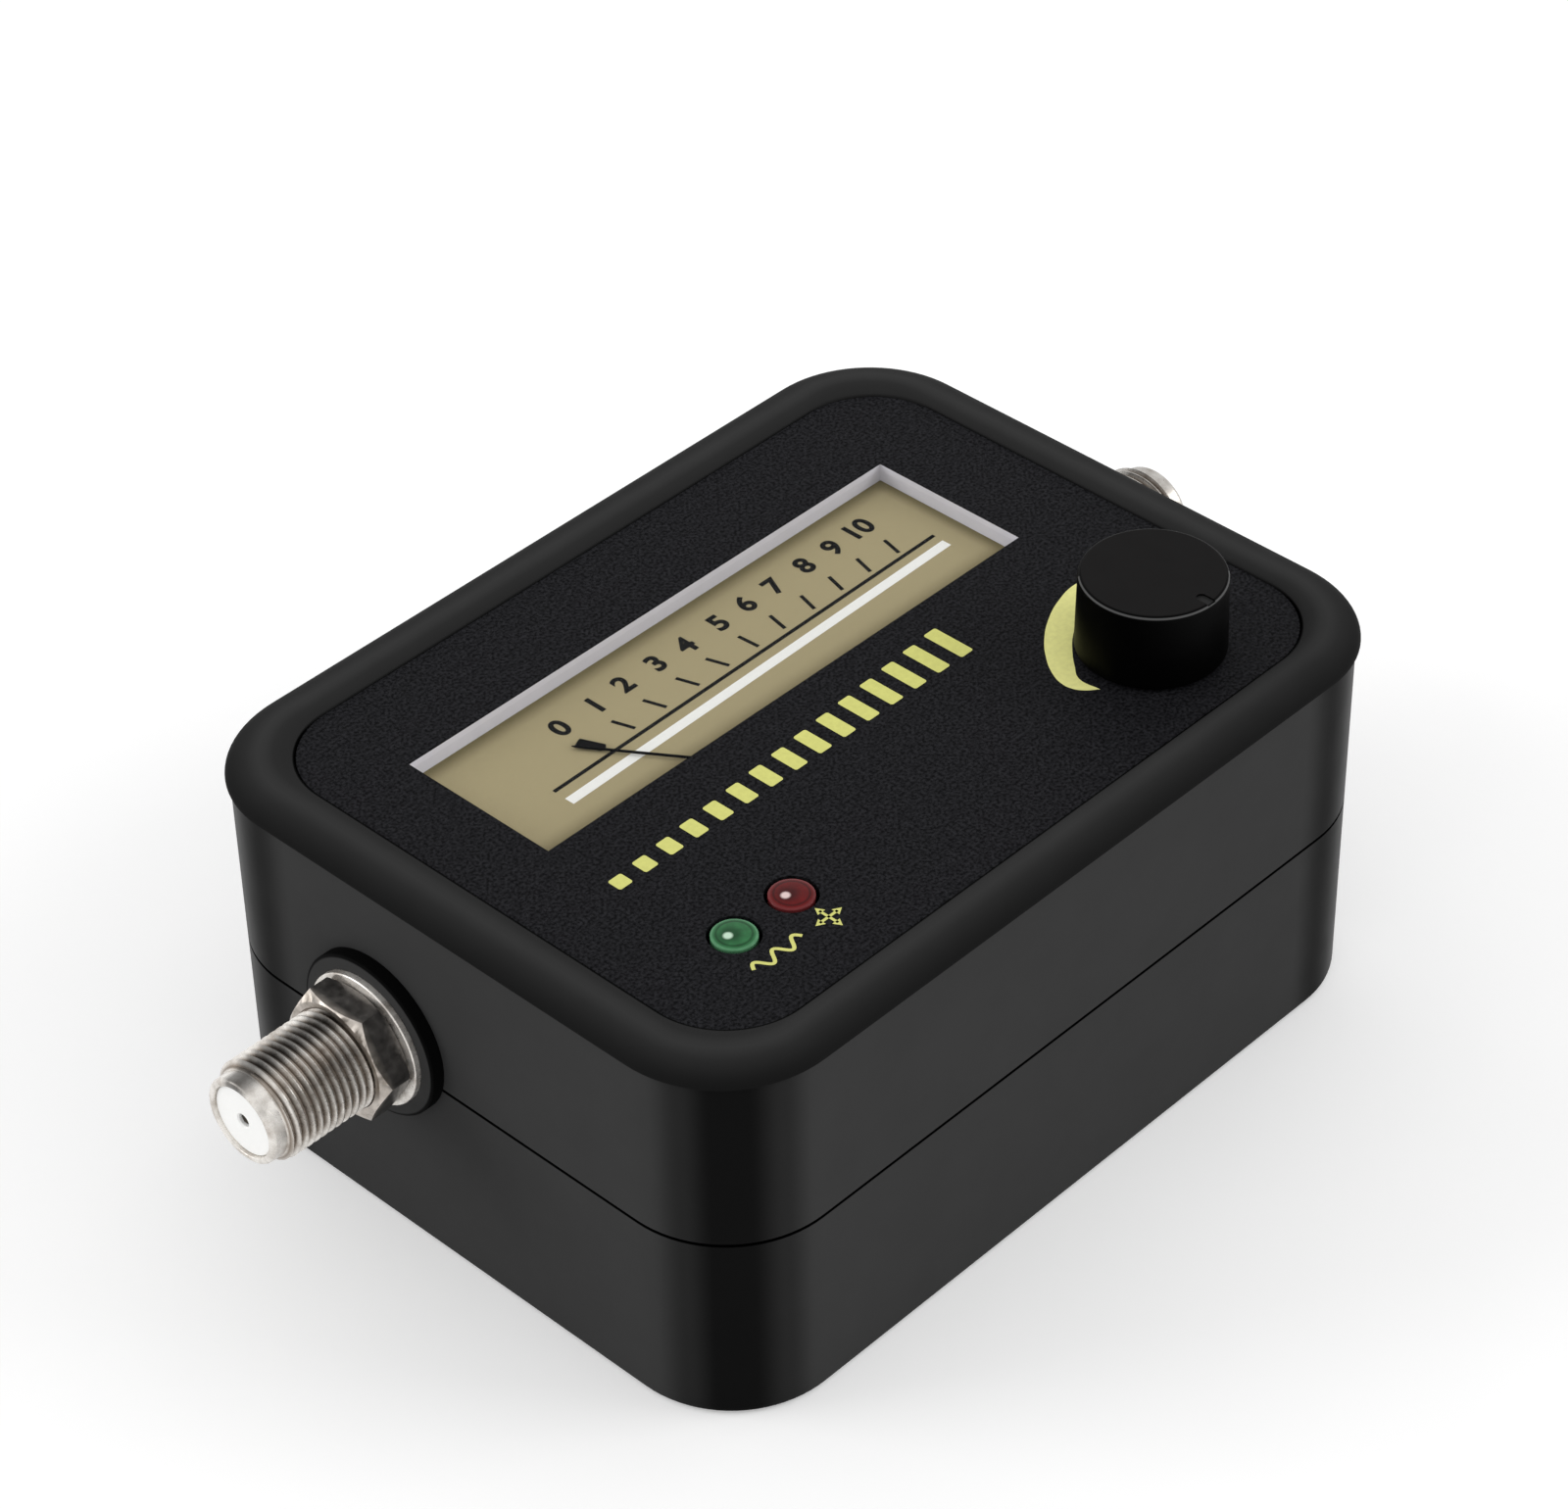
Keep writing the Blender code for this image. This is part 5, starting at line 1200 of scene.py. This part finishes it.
@dataclass
class FrontSheet:
    """The grained sheet on the front panel, with its printed marks."""

    sheet: Finish
    ink: Finish
    gain_ink: Finish
    outline: RoundedOutline = RoundedOutline(75.7, 55.3, 7.8, -0.5)
    base: float = 37.9
    top: float = 38.4
    edge: float = 0.07
    skin: float = 0.07
    rebate: float = 0.5
    ink_low: float = 38.396
    ink_high: float = 38.42
    wave_place: Pair = (-26.4, -22.4)
    arrows_place: Pair = (-20.5, -22.4)

    def plate(self) -> None:
        """Build the sheet with its window and its holes."""
        under, over, edge, grow = 37.0, 39.0, self.edge, self.rebate
        sheet = Blank("front_sheet").loft([
            (self.outline, self.base), (self.outline, self.top - edge),
            (self.outline.grown(-edge * 0.3), self.top - edge * 0.3), (self.outline.grown(-edge), self.top)], 28)
        holes = Blank("sheet_holes").column(LAMP_HOLE, under, over, GREEN_LAMP)
        holes.column(LAMP_HOLE, under, over, RED_LAMP).column(KNOB_HOLE, under, over, KNOB_PLACE)
        left, right, front, back = WINDOW
        sheet.combined(holes).combined(Blank("window").block((left, front, under), (right, back, over)))
        sheet.combined(Blank("rebate").block((left - grow, front - grow, under),
                                             (right + grow, back + grow, self.top - self.skin)))
        sheet.finished(self.sheet, "label_black", "label_sheet", weighted=True)

    def strength_bars(self) -> None:
        """Print the row of rising bars under the window."""
        count, left, right, base, width = 15, -29.5, 13.5, -7.7, 1.5
        marks = Blank("strength_bars")
        for number in range(count):
            share = number / (count - 1)
            height = 1.5 + 3.0 * share
            outline = RoundedOutline(width, height, 0.22, base + height / 2,
                                     left + width / 2 + (right - left - width) * share)
            marks.added(Blank("bar").loft([(outline, self.ink_low), (outline, self.ink_high)], 4))
        marks.finished(self.ink, "label_black")

    def wave(self) -> None:
        """Print the small sine wave under the first lamp."""
        steps, length, rise, waves = 48, 5.6, 0.62, 2.5
        shares = [number / steps for number in range(steps + 1)]
        line = wire([(length * (s - 0.5), rise * math.sin(waves * math.tau * s), 0.0) for s in shares], 0.17)
        mark = Blank("tone_wave_mark").take_in(in_scene("wave", line)).settled()
        mark.moved(put(*self.wave_place, self.top) @ Matrix.Diagonal((1.0, 1.0, 0.12, 1.0)))
        mark.finished(self.ink, "label_black")

    def crossed_arrows(self) -> None:
        """Print the crossed double arrow under the second lamp."""
        mark = Blank("crossed_arrows_mark")
        reach, low, high = 1.05, self.ink_low, self.ink_high
        for turn in (0.0, 90.0):
            arrow = Blank("arrow").block((-reach, -0.13, low), (reach, 0.13, high))
            for side in (-1.0, 1.0):
                head = Blank("head").column(0.5, low, high, steps=3, turn=-90.0 * side)
                arrow.added(head.moved(put(side * reach)))
            mark.added(arrow.moved(put(*self.arrows_place, 0.0, turn)))
        mark.finished(self.ink, "label_black")

    def gain_crescent(self) -> None:
        """Print the crescent that widens round the knob with the gain."""
        outer = ((52.0, 10.6), (64.0, 10.95), (78.0, 10.75), (93.0, 10.05), (110.0, 9.45), (128.0, 9.18),
                 (142.0, 9.2), (156.0, 9.4), (166.0, 9.46), (173.0, 9.2), (179.0, 8.6))
        inner = ((169.0, 7.84), (156.0, 7.24), (138.0, 6.8), (122.0, 6.78), (104.0, 7.04), (84.0, 7.6), (66.0, 8.4))
        places = [*outer, (185.5, 7.62), *inner]
        curve = bpy.data.curves.new("crescent", "CURVE")
        curve.dimensions, curve.fill_mode, curve.extrude, curve.resolution_u = "2D", "BOTH", 0.012, 8
        spline = curve.splines.new("BEZIER")
        spline.bezier_points.add(len(places) - 1)
        for number, (knot, (angle, reach)) in enumerate(zip(spline.bezier_points, places)):
            knot.co = (reach * math.cos(math.radians(angle)), reach * math.sin(math.radians(angle)), 0.0)
            knot.handle_left_type = knot.handle_right_type = "VECTOR" if number == len(outer) else "AUTO"
        spline.use_cyclic_u = True
        mark = Blank("gain_crescent").take_in(in_scene("crescent", curve)).settled()
        mark.moved(put(*KNOB_PLACE, self.top + 0.008)).finished(self.gain_ink, "label_black")

    def build(self) -> None:
        """Build the sheet and print every mark on it."""
        for make in (self.plate, self.strength_bars, self.wave, self.crossed_arrows, self.gain_crescent):
            make()


@dataclass
class DialUnit:
    """The meter's window: its pale frame, clear pane, printed card and pointer."""

    frame_grey: Finish
    pane: Finish
    card: Finish
    black: Finish
    white: Finish
    pointer_black: Finish
    card_top: float = 36.55
    card_outline: RoundedOutline = RoundedOutline(58.6, 17.95, 0.4, 8.025, -0.8)
    frame_wall: float = 0.19
    frame_top: float = 38.33
    pivot: Pair = (2.2, -20.0)
    swing: float = 33.8
    wire_low: float = 35.41
    wire_high: float = 36.85

    def opening(self, by: float, radius: float) -> RoundedOutline:
        """Give the window's outline moved out.

        Args:
            by: distance moved out.
            radius: corner radius.

        Returns:
            The outline.
        """
        left, right, front, back = WINDOW
        return RoundedOutline(right - left + 2 * by, back - front + 2 * by, radius, (front + back) / 2,
                              (left + right) / 2)

    def window_frame(self) -> None:
        """Build the pale walls between the sheet and the card."""
        left, right, front, back = WINDOW
        wall, top, low = self.frame_wall, self.frame_top, self.card_top
        outline = self.opening(wall, 0.25)
        walls = Blank("window_frame").loft([(outline, low), (outline, top)], 4)
        walls.combined(Blank("inside").block((left, front, low - 1.0), (right, back, top + 1.0)))
        walls.combined(Blank("under").block((left + wall, front - 1.0, low - 1.0), (right - wall, front + 0.5, 37.15)))
        walls.finished(self.frame_grey, "housing_grey", weighted=True)

    def clear_pane(self) -> None:
        """Build the clear pane inside the walls."""
        outline = self.opening(-0.03, 0.2)
        pane = Blank("dial_pane").loft([(outline, 37.3), (outline, 37.75), (outline.grown(-0.08), 37.83)], 4)
        pane.finished(self.pane, "lens_clear", "meter_lens")

    def dial_card(self) -> None:
        """Build the card with its rounded edges."""
        outline, top, edge = self.card_outline, self.card_top, 0.05
        card = Blank("dial_card").loft([(outline, top - 0.5), (outline, top - edge), (outline.grown(-edge), top)], 6)
        card.finished(self.card, "scale_olive", "scale_plate")

    def stroke(self, start: Pair, end: Pair, width: float) -> Blank:
        """Print one straight stroke.

        Args:
            start: one end of its middle line.
            end: the other end.
            width: its width.

        Returns:
            The stroke.
        """
        run, middle = Vector(end) - Vector(start), (Vector(start) + Vector(end)) / 2
        bar = Blank("stroke").block((-run.length / 2, -width / 2, self.card_top - 0.004),
                                    (run.length / 2, width / 2, self.card_top + 0.02))
        return bar.moved(put(*middle, 0.0, math.degrees(math.atan2(run.y, run.x))))

    def black_print(self) -> None:
        """Print the base line and the ticks."""
        marks = Blank("dial_ticks").added(self.stroke((-22.84, 6.94), (25.38, 7.6), 0.38))
        ticks = ((-16.6, 9.0, -70.0), (-12.57, 9.0, -72.0), (-8.71, 9.05, -72.0), (-4.63, 9.1, -72.0),
                 (-0.93, 9.1, -72.0), (2.99, 9.15, -86.0), (6.71, 9.2, -101.0), (10.57, 9.2, -105.0),
                 (14.26, 9.25, -105.0), (17.88, 9.25, -105.0), (21.62, 9.3, -103.0))
        for x, y, direction in ticks:
            turn = math.radians(direction)
            half = Vector((math.cos(turn), math.sin(turn))) * 1.14
            marks.added(self.stroke((x - half.x, y - half.y), (x + half.x, y + half.y), 0.36))
        marks.finished(self.black, "scale_olive")

    def white_line(self) -> None:
        """Print the broad pale line under the ticks."""
        line = Blank("dial_white_line").added(self.stroke((-22.85, 5.08), (25.34, 6.02), 1.02))
        line.finished(self.white, "scale_olive")

    def numbers(self) -> None:
        """Print the numbers from 0 to 10 over the ticks."""
        places = ((-16.53, 12.71), (-12.28, 12.72), (-8.64, 13.0), (-4.65, 12.96), (-1.1, 12.86), (3.12, 12.95),
                  (6.72, 13.12), (10.33, 13.05), (14.29, 13.15), (17.91, 13.12), (21.73, 13.31))
        marks = Blank("dial_numbers")
        for number, (x, y) in enumerate(places):
            text = bpy.data.curves.new("number", "FONT")
            text.body, text.size, text.offset, text.extrude, text.resolution_u = str(number), 3.05, 0.10, 0.012, 8
            glyph = Blank("glyph").take_in(in_scene("number", text)).settled()
            xs, ys = [v.co.x for v in glyph.bm.verts], [v.co.y for v in glyph.bm.verts]
            marks.added(glyph.moved(put(x - (min(xs) + max(xs)) / 2, y - (min(ys) + max(ys)) / 2,
                                        self.card_top + 0.008)))
        marks.finished(self.black, "scale_olive")

    def flag(self) -> Blank:
        """Build the flat flag near the pointer's tip.

        Returns:
            The flag.
        """
        flag = Blank("flag")
        corners = ((-0.1, 33.0), (0.62, 33.15), (1.05, 35.5), (0.75, 35.62), (-0.1, 35.75))
        blade = flag.bm.faces.new([flag.bm.verts.new((x, y, 36.77)) for x, y in corners])
        raised = bmesh.ops.extrude_face_region(flag.bm, geom=[blade])["geom"]
        bmesh.ops.translate(flag.bm, vec=(0.0, 0.0, 0.17),
                            verts=[v for v in raised if isinstance(v, bmesh.types.BMVert)])
        return flag.settled().softened(0.03, segments=1)

    def pointer(self) -> None:
        """Build the pointer: wire, flag, hub and balance tail, at its rest turn."""
        low, high = self.wire_low, self.wire_high
        path = ((-4.9, low), (6.6, low), (7.2, 35.5), (10.3, 36.76), (10.9, high), (35.3, high), (36.0, high))
        line = wire([(0.0, along, height) for along, height in path], 0.13, 0.35)
        pointer = Blank("needle").take_in(in_scene("needle_line", line)).added(self.flag())
        pointer.added(Blank("hub").turned([(0.0, 35.66), (0.95, 35.66), (1.1, 35.55), (1.1, 35.2), (1.0, 35.16),
                                           (0.0, 35.16)], 40))
        weight = Blank("tail").turned([(0.0, 0.0), (0.35, 0.0), (0.45, 0.1), (0.45, 1.0), (0.35, 1.1),
                                       (0.0, 1.1)], 24)
        pointer.added(weight.moved(put(0.0, -3.9, low, 90.0, "X")))
        pointer.moved(put(*self.pivot, 0.0, self.swing))
        pointer.finished(self.pointer_black, "pointer_black", "pointer", "pointer")

    def build(self) -> None:
        """Build every piece of the window."""
        for make in (self.window_frame, self.clear_pane, self.dial_card, self.black_print, self.white_line,
                     self.numbers, self.pointer):
            make()


@dataclass
class GainKnob:
    """The round knob, with a notch towards the reader."""

    material: Finish
    base: float = 38.7
    height: float = 7.6
    radius: float = 6.5
    base_radius: float = 6.65
    edge: float = 0.42
    foot: float = 0.2
    hollow: Pair = (5.2, 3.2)
    bore: Pair = (2.05, 6.3)
    notch_width: float = 0.95
    notch_length: float = 1.7
    notch_depth: float = 0.22

    def build(self) -> None:
        """Build the knob."""
        rim = arc((self.radius - self.edge, self.height - self.edge), (self.edge, self.edge), 90.0, 0.0, 10)
        knob = Blank("gain_knob").turned([
            (0.0, self.height), *rim, (self.base_radius, self.foot),
            (self.base_radius - self.foot * 0.3, self.foot * 0.3), (self.base_radius - self.foot, 0.0),
            (self.hollow[0], 0.0), self.hollow, (self.bore[0], self.hollow[1]), self.bore, (0.0, self.bore[1])], 160)
        half, inner = self.notch_width / 2, -self.radius + self.notch_length
        low, high = self.height - self.notch_depth, self.height + 1.0
        notch = Blank("notch").block((-half, -self.radius - 1.0, low), (half, inner - half, high))
        notch.combined(Blank("notch_end").column(half, low, high, (0.0, inner - half), 48), Combine.UNITE)
        knob.combined(notch).moved(put(*KNOB_PLACE, self.base))
        knob.finished(self.material, "knob_black", "knob", "knob", 40.0, True)


@dataclass
class IndicatorLamp:
    """One round lamp with a low dome that stands just proud of the sheet."""

    name: str
    material: Finish
    place: Pair
    radius: float = 1.97
    base: float = 30.7
    top: float = 38.62
    dome: float = 0.26
    flange: Pair = (2.9, 1.0)
    edge: float = 0.1

    def build(self) -> None:
        """Build the lamp."""
        height, (wide, thick), edge = self.top - self.base, self.flange, self.edge
        dome = arc((0.0, height - self.dome), (self.radius, self.dome), 90.0, 0.0, 20)
        lamp = Blank(self.name + "_lens").turned([
            *dome, (self.radius, thick + edge), (self.radius + edge, thick), (wide - edge, thick),
            (wide, thick - edge), (wide, edge), (wide - edge, 0.0), (0.0, 0.0)], 72)
        lamp.moved(put(*self.place, self.base))
        lamp.finished(self.material, self.name, self.name)


@dataclass
class CoaxialSocket:
    """One threaded coaxial socket with its collar, washer and nut, seen along its axis from the wall."""

    side: Side
    nickel: Finish
    nut_nickel: Finish
    collar_black: Finish
    insulator: Finish
    wall_x: float = 42.5
    inner_end: float = -9.5
    reach: float = 15.5
    thread_end: float = 13.9
    thread_radius: float = 4.76
    root_radius: float = 4.28
    pitch: float = 0.794
    turns: int = 15
    nose_radius: float = 4.1
    nose_edge: float = 0.42
    bore_radius: float = 3.4
    contact_hole: float = 0.62
    ring_clear: float = 4.9
    nut_flats: float = 11.0
    nut_low: float = 1.94
    nut_high: float = 5.0

    def started(self, part: str) -> Blank:
        """Start the blank of one part on this side."""
        return Blank("socket_%s_%s_turned" % (part, self.side.name.lower()))

    def fitted(self, blank: Blank, material: Finish, slot: str, crease: float = 34.0,
               weighted: bool = False) -> None:
        """Move a part from the socket's own axis to the wall and finish it, in place of its CAD node."""
        blank.moved(put(self.side.value * self.wall_x, *SOCKET_AXIS, 90.0 * self.side.value, "Y"))
        blank.finished(material, slot, blank.name.removesuffix("_turned"), "case", crease, weighted)

    def body(self) -> None:
        """Build the threaded body with its nose, bore and inner block."""
        edge, end, half = self.nose_edge, self.thread_end, 5.5
        lip = arc((self.nose_radius - edge, self.reach - edge), (edge, edge), 0.0, 90.0, 6)
        inside = arc((self.bore_radius + 0.12, self.reach - 0.12), (0.12, 0.12), 90.0, 180.0, 3)
        core = self.started("body").turned([
            (self.bore_radius, self.inner_end), (self.root_radius, self.inner_end), (self.root_radius, end),
            (self.nose_radius, end + 0.1), *lip, *inside], closed=True)
        ridge = Blank("thread").thread(self.root_radius - 0.1, self.thread_radius, self.pitch, self.turns, 72)
        ridge.moved(put(0.0, 0.0, end - self.pitch * (self.turns - 0.25)))
        wide = self.thread_radius + 0.3
        trim = Blank("trim").turned([(0.0, -2.2), (wide, -2.2), (wide, end - 0.55), (self.root_radius + 0.02, end),
                                     (0.0, end)])
        core.added(ridge.combined(trim, Combine.KEEP))
        block = Blank("block").block((-half, -half, self.inner_end), (half, half, -2.5)).softened(0.25)
        core.added(block.combined(Blank("bore").column(self.bore_radius, -12.0, 0.0)))
        self.fitted(core, self.nickel, "nickel")

    def fill(self) -> None:
        """Build the white insulator with the spring contact's small hole."""
        top, outer, hole = self.reach - 0.3, self.bore_radius - 0.04, self.contact_hole
        fill = self.started("insulator").turned([
            (hole, 8.0), (hole, top - 0.12), (0.5 + 0.24, top), (outer - 0.1, top), (outer, top - 0.1),
            (outer, -9.4), (hole, -9.4)], 64, True)
        self.fitted(fill, self.insulator, "insulator_white")

    def ring(self, part: str, radius: float, low: float, high: float, edge: float, chords: int,
             steps: int) -> Blank:
        """Build a flat ring with a rounded outer edge.

        Args:
            part: name of the ring.
            radius: outer radius.
            low: where it starts on the axis.
            high: where it ends.
            edge: radius of the rounded edge.
            chords: number of chords in that edge.
            steps: number of steps round the axis.

        Returns:
            The ring, not yet turned to its end.
        """
        outer = arc((radius - edge, high - edge), (edge, edge), 90.0, 0.0, chords)
        return self.started(part).turned([(self.ring_clear, low), (self.ring_clear, high), *outer, (radius, low)],
                                         steps, True)

    def nut(self) -> None:
        """Build the hexagon nut with turned corners and a countersunk bore."""
        corner, low, high = self.nut_flats / math.sqrt(3.0), self.nut_low, self.nut_high
        face, wide = self.nut_flats / 2 - 0.15, corner + 0.3
        drop_at_edge = (wide - face) * math.tan(math.radians(30.0))
        trim = Blank("trim").turned([
            (0.0, high + 0.01), (face, high + 0.01), (wide, high - drop_at_edge), (wide, low + drop_at_edge),
            (face, low - 0.01), (0.0, low - 0.01)], 120)
        nut = self.started("nut").column(corner, low, high, steps=6).combined(trim, Combine.KEEP)
        nut.softened(0.10, 25.0).combined(Blank("bore").turned([
            (0.0, low - 1.0), (4.5, low - 1.0), (4.5, high - 0.35), (5.9, high + 1.05), (0.0, high + 1.05)]))
        self.fitted(nut, self.nut_nickel, "nickel", 40.0, True)

    def build(self) -> None:
        """Build every piece of the socket."""
        self.body()
        self.fill()
        self.fitted(self.ring("collar", 7.8, 0.02, 1.3, 0.22, 6, 128), self.collar_black, "shell_black")
        self.fitted(self.ring("washer", 6.38, 1.32, 1.92, 0.14, 4, 96), self.nickel, "nickel")
        self.nut()


@dataclass
class InnerWorks:
    """The CAD parts that keep their own shapes and get a finish each."""

    nodes: dict[str, Piece]

    def build(self) -> None:
        """Dress every carried-over part by what it is made of."""
        for finish, names in (
                (MouldedPlastic("housing_grey_moulded", 0xB6B5BC, 0.5, 0.25), "meter_housing"),
                (PlatedMetal("steel_zinc", 0xA9ABAD, 0x84807A, 0.3),
                 "board_screw_1 board_screw_2 board_screw_3 board_screw_4 pot_shaft pot_bushing pot_can "
                 "pot_washer pot_nut"),
                (PlatedMetal("soft_iron", 0x5B5C60, 0x3C3A38, 0.42), "yoke_ring core_magnet"),
                (PlatedMetal("brass_turned", 0xC9A04A, 0x8E6A2C, 0.26),
                 "core_pin top_bridge lower_jewel upper_jewel hairspring"),
                # The socket contacts' bronze is painted dark, as shade in their holes.
                (PlatedMetal("bronze_hole_shade", 0x3A2E1C, 0x1E160C, 0.4), "socket_contact_left socket_contact_right"),
                (PlatedMetal("tinned_wire", 0xC8CACC, 0x9A9A98, 0.32),
                 "meter_terminal_left meter_terminal_right lamp_green_anode lamp_green_cathode lamp_red_anode "
                 "lamp_red_cathode"),
                (WoundWire("wound_copper", 0xC4713A, 0x6E3516), "moving_coil choke"),
                (BoardLaminate("board_green_mask", 0x1D5A34, 0x2C7446), "circuit_board"),
                (MouldedPlastic("wafer_phenolic", 0x6B4526, 0.55, 0.25), "pot_wafer"),
                (MouldedPlastic("component_resin", 0x1B1B1D, 0.5, 0.3, 0.12),
                 "buzzer detector_chip logic_chip regulator"),
                (MouldedPlastic("capacitor_sleeve", 0x1D3566, 0.38, 0.4), "capacitor_large capacitor_small")):
            material = finish.made()
            for name in names.split():
                for slot in self.nodes[name].material_slots:
                    slot.link, slot.material = "OBJECT", material
                log.info("%s: dressed in %s", name, material.name)


@dataclass
class Studio:
    """Plain floor, soft light and the camera at the photograph's angle, in metres and radians but for its offset."""

    yaw: float = -0.798442627
    pitch: float = 0.681460337
    roll: float = -0.0213341104
    offset: Triple = (2.08762, -23.80595, 421.60895)
    focal: float = 4747.129
    image_width: float = 1600.0
    sensor: float = 36.0
    drop: float = 0.00002
    foot_corner: float = CASE_CORNER - 1.0
    ambient: float = 0.72
    glow: float = 0.26
    lamp_size: float = 1.4
    lamp_power: float = 17.0
    lamp_distance: float = 2.4
    aim: float = 0.02

    def camera(self) -> None:
        """Set the camera where the photograph was taken from."""
        sin, cos = math.sin, math.cos
        back = Vector((sin(self.yaw) * cos(self.pitch), -cos(self.yaw) * cos(self.pitch), sin(self.pitch)))
        across = Vector((0.0, 0.0, 1.0)).cross(back).normalized()
        up = back.cross(across)
        turn = Matrix((across * cos(self.roll) + up * sin(self.roll),
                       up * cos(self.roll) - across * sin(self.roll), back)).transposed()
        shift = Vector((self.offset[0], self.offset[1], -self.offset[2]))
        data = bpy.data.cameras.new("photo_camera")
        data.sensor_width, data.clip_start = self.sensor, 0.01
        data.lens = self.focal * self.sensor / self.image_width
        bpy.context.scene.camera = in_scene("photo_camera", data)
        bpy.context.scene.camera.matrix_world = Matrix.Translation(turn @ -shift * MM) @ turn.to_4x4()

    def floor(self) -> None:
        """Lay a pale floor that keeps the object's shadow, with light on the underside through the case's foot."""
        board = NodeBoard("floor_paper")
        grain = board.noise(40.0, 3.0)
        colour = board.blended(board.ranged(grain, 0.0, 1.0), linear(0xF0F0F0), linear(0xF3F3F3))
        away = board.worked("LENGTH", board.beyond(CASE_CORE))
        paper = board.dressed(colour, board.ranged(grain, 0.8, 0.9), board.noise(1.5), 0.01,
                              board.within(away, self.foot_corner, self.foot_corner + 0.1),
                              Specular_IOR_Level=0.1, Emission_Color=WHITE,
                              Emission_Strength=board.seen(0.0, self.glow))
        plane = Blank("floor")
        bmesh.ops.create_grid(plane.bm, x_segments=1, y_segments=1, size=4.0, matrix=put(0.0, 0.0, -self.drop))
        bmesh.ops.bevel(plane.bm, geom=plane.bm.verts[:], offset=1.0, offset_type="OFFSET", segments=8,
                        profile=0.5, affect="VERTICES", clamp_overlap=False, material=-1)
        floor = plane.placed("floor")
        plane.bm.free()
        floor.data.materials.append(paper)

    def world(self) -> None:
        """Light the room evenly, with a white background wherever it is seen."""
        board = NodeBoard("studio_room", "worlds")
        bpy.context.scene.world = board.owner
        light = board.add("Background", {"Color": WHITE, "Strength": board.seen(self.ambient, 1.0)})
        board.shown(light, "ShaderNodeOutputWorld")

    def lamp(self, name: str, direction: Triple) -> None:
        """Hang one soft lamp that points at the object.

        Args:
            name: the lamp's name.
            direction: from the object towards the lamp.
        """
        data = bpy.data.lights.new(name, "AREA")
        data.shape, data.size, data.energy = "DISK", self.lamp_size, self.lamp_power
        lamp = in_scene(name, data)
        towards = Vector(direction).normalized()
        place = Vector((0.0, 0.0, self.aim)) + towards * self.lamp_distance
        lamp.matrix_world = Matrix.Translation(place) @ towards.to_track_quat("Z", "Y").to_matrix().to_4x4()
        lamp.visible_camera = False

    def build(self) -> None:
        """Set the whole studio."""
        bpy.context.scene.view_settings.view_transform = "Standard"
        self.camera()
        self.floor()
        self.world()
        self.lamp("left_softbox", (-0.698, 0.716, 0.45))
        self.lamp("right_softbox", (0.698, -0.716, 0.45))
        log.info("studio: camera, floor, world and two lamps")


def main() -> None:
    """Build the pieces in order and dress the rest."""
    logging.basicConfig(level=logging.INFO, format="%(message)s")
    shells = CaseShells(ShellPlastic("shell_moulded", 0x3A3A3A, 0.5, 0.01, mottle=0.03).made())
    shells.top()
    shells.bottom()
    CaseScrews(PlatedMetal("screw_zinc", 0xB2B3B4, 0x8A857C, 0.26).made()).build(shells.post_places())
    FrontSheet(GrainedSheet("sheet_grained", 0x060608, 0x252528).made(),
               PrintingInk("ink_pale_yellow", 0xDEDE82).made(),
               PrintingInk("ink_gain_yellow", 0xF6F4A0).made()).build()
    DialUnit(MouldedPlastic("window_grey", 0xDAD9E1, 0.5, 0.1, 0.15, 0.002, 0.03).made(),
             ClearPane("pane_clear").made(), DialCard("dial_khaki", 0xAB9F7B, 0x766D4D).made(),
             PrintingInk("ink_black", 0x050504).made(), PrintingInk("ink_white", 0xFDFDF8, 0.5, 0.03).made(),
             MouldedPlastic("needle_black", 0x060606, 0.4, 0.03).made()).build()
    GainKnob(KnobPlastic("knob_satin", 0x141313, 0.45, 0.04, 0.14, 0.002, 0.03).made()).build()
    # The last tone of each lamp is its painted glint.
    for name, place, tones in (("green", GREEN_LAMP, (0x548C64, 0x2F6A40, 0x1A4828, 0xC8E4CC)),
                               ("red", RED_LAMP, (0x6E2A2C, 0x620D0E, 0x3E0304, 0xE8D0CC))):
        IndicatorLamp("lamp_" + name, TintedResin("resin_" + name, *tones, place).made(), place).build()
    # Painted reflections: dark streaks on each socket's thread, by the turn round its axis.
    reflection_streaks = {Side.LEFT: ((0.0, 0xFFFFFF), (0.665, 0xFFFFFF), (0.700, 0x969696), (0.738, 0x747474),
                           (0.752, 0x7A7A7A), (0.775, 0xA4A4A4), (0.806, 0xF8F8F8), (0.832, 0xFFFFFF),
                           (0.875, 0xE0E0E0), (0.905, 0xFFFFFF), (1.0, 0xFFFFFF)),
               Side.RIGHT: ((0.0, 0xDCDCDC), (0.68, 0xC8C8C8), (0.78, 0xD4D4D4), (1.0, 0xDCDCDC))}
    nut_nickel = NutNickel("nickel_brushed", 0xC6BEB6, 0x8A8278, 0.34, 0.08, 0.004, (6.0, 1.0, 1.0)).made()
    rubber = CollarPlastic("collar_black", 0x3A3A3A, 0.5, 0.01).made()
    white = MouldedPlastic("insulator_white", 0xFDFDFB, 0.4, 0.2, 0.2, 0.003, 0.02).made()
    for side in Side:
        nickel = ThreadNickel("nickel_plated_" + side.name.lower(), 0xECE8E2, 0xA89E94, 0.27, stain_size=2.4,
                              metallic=0.72, reflection_streaks=reflection_streaks[side]).made()
        CoaxialSocket(side, nickel, nut_nickel, rubber, white).build()
    InnerWorks(frame["nodes"]).build()
    Studio().build()


if __name__ == "__main__":
    main()
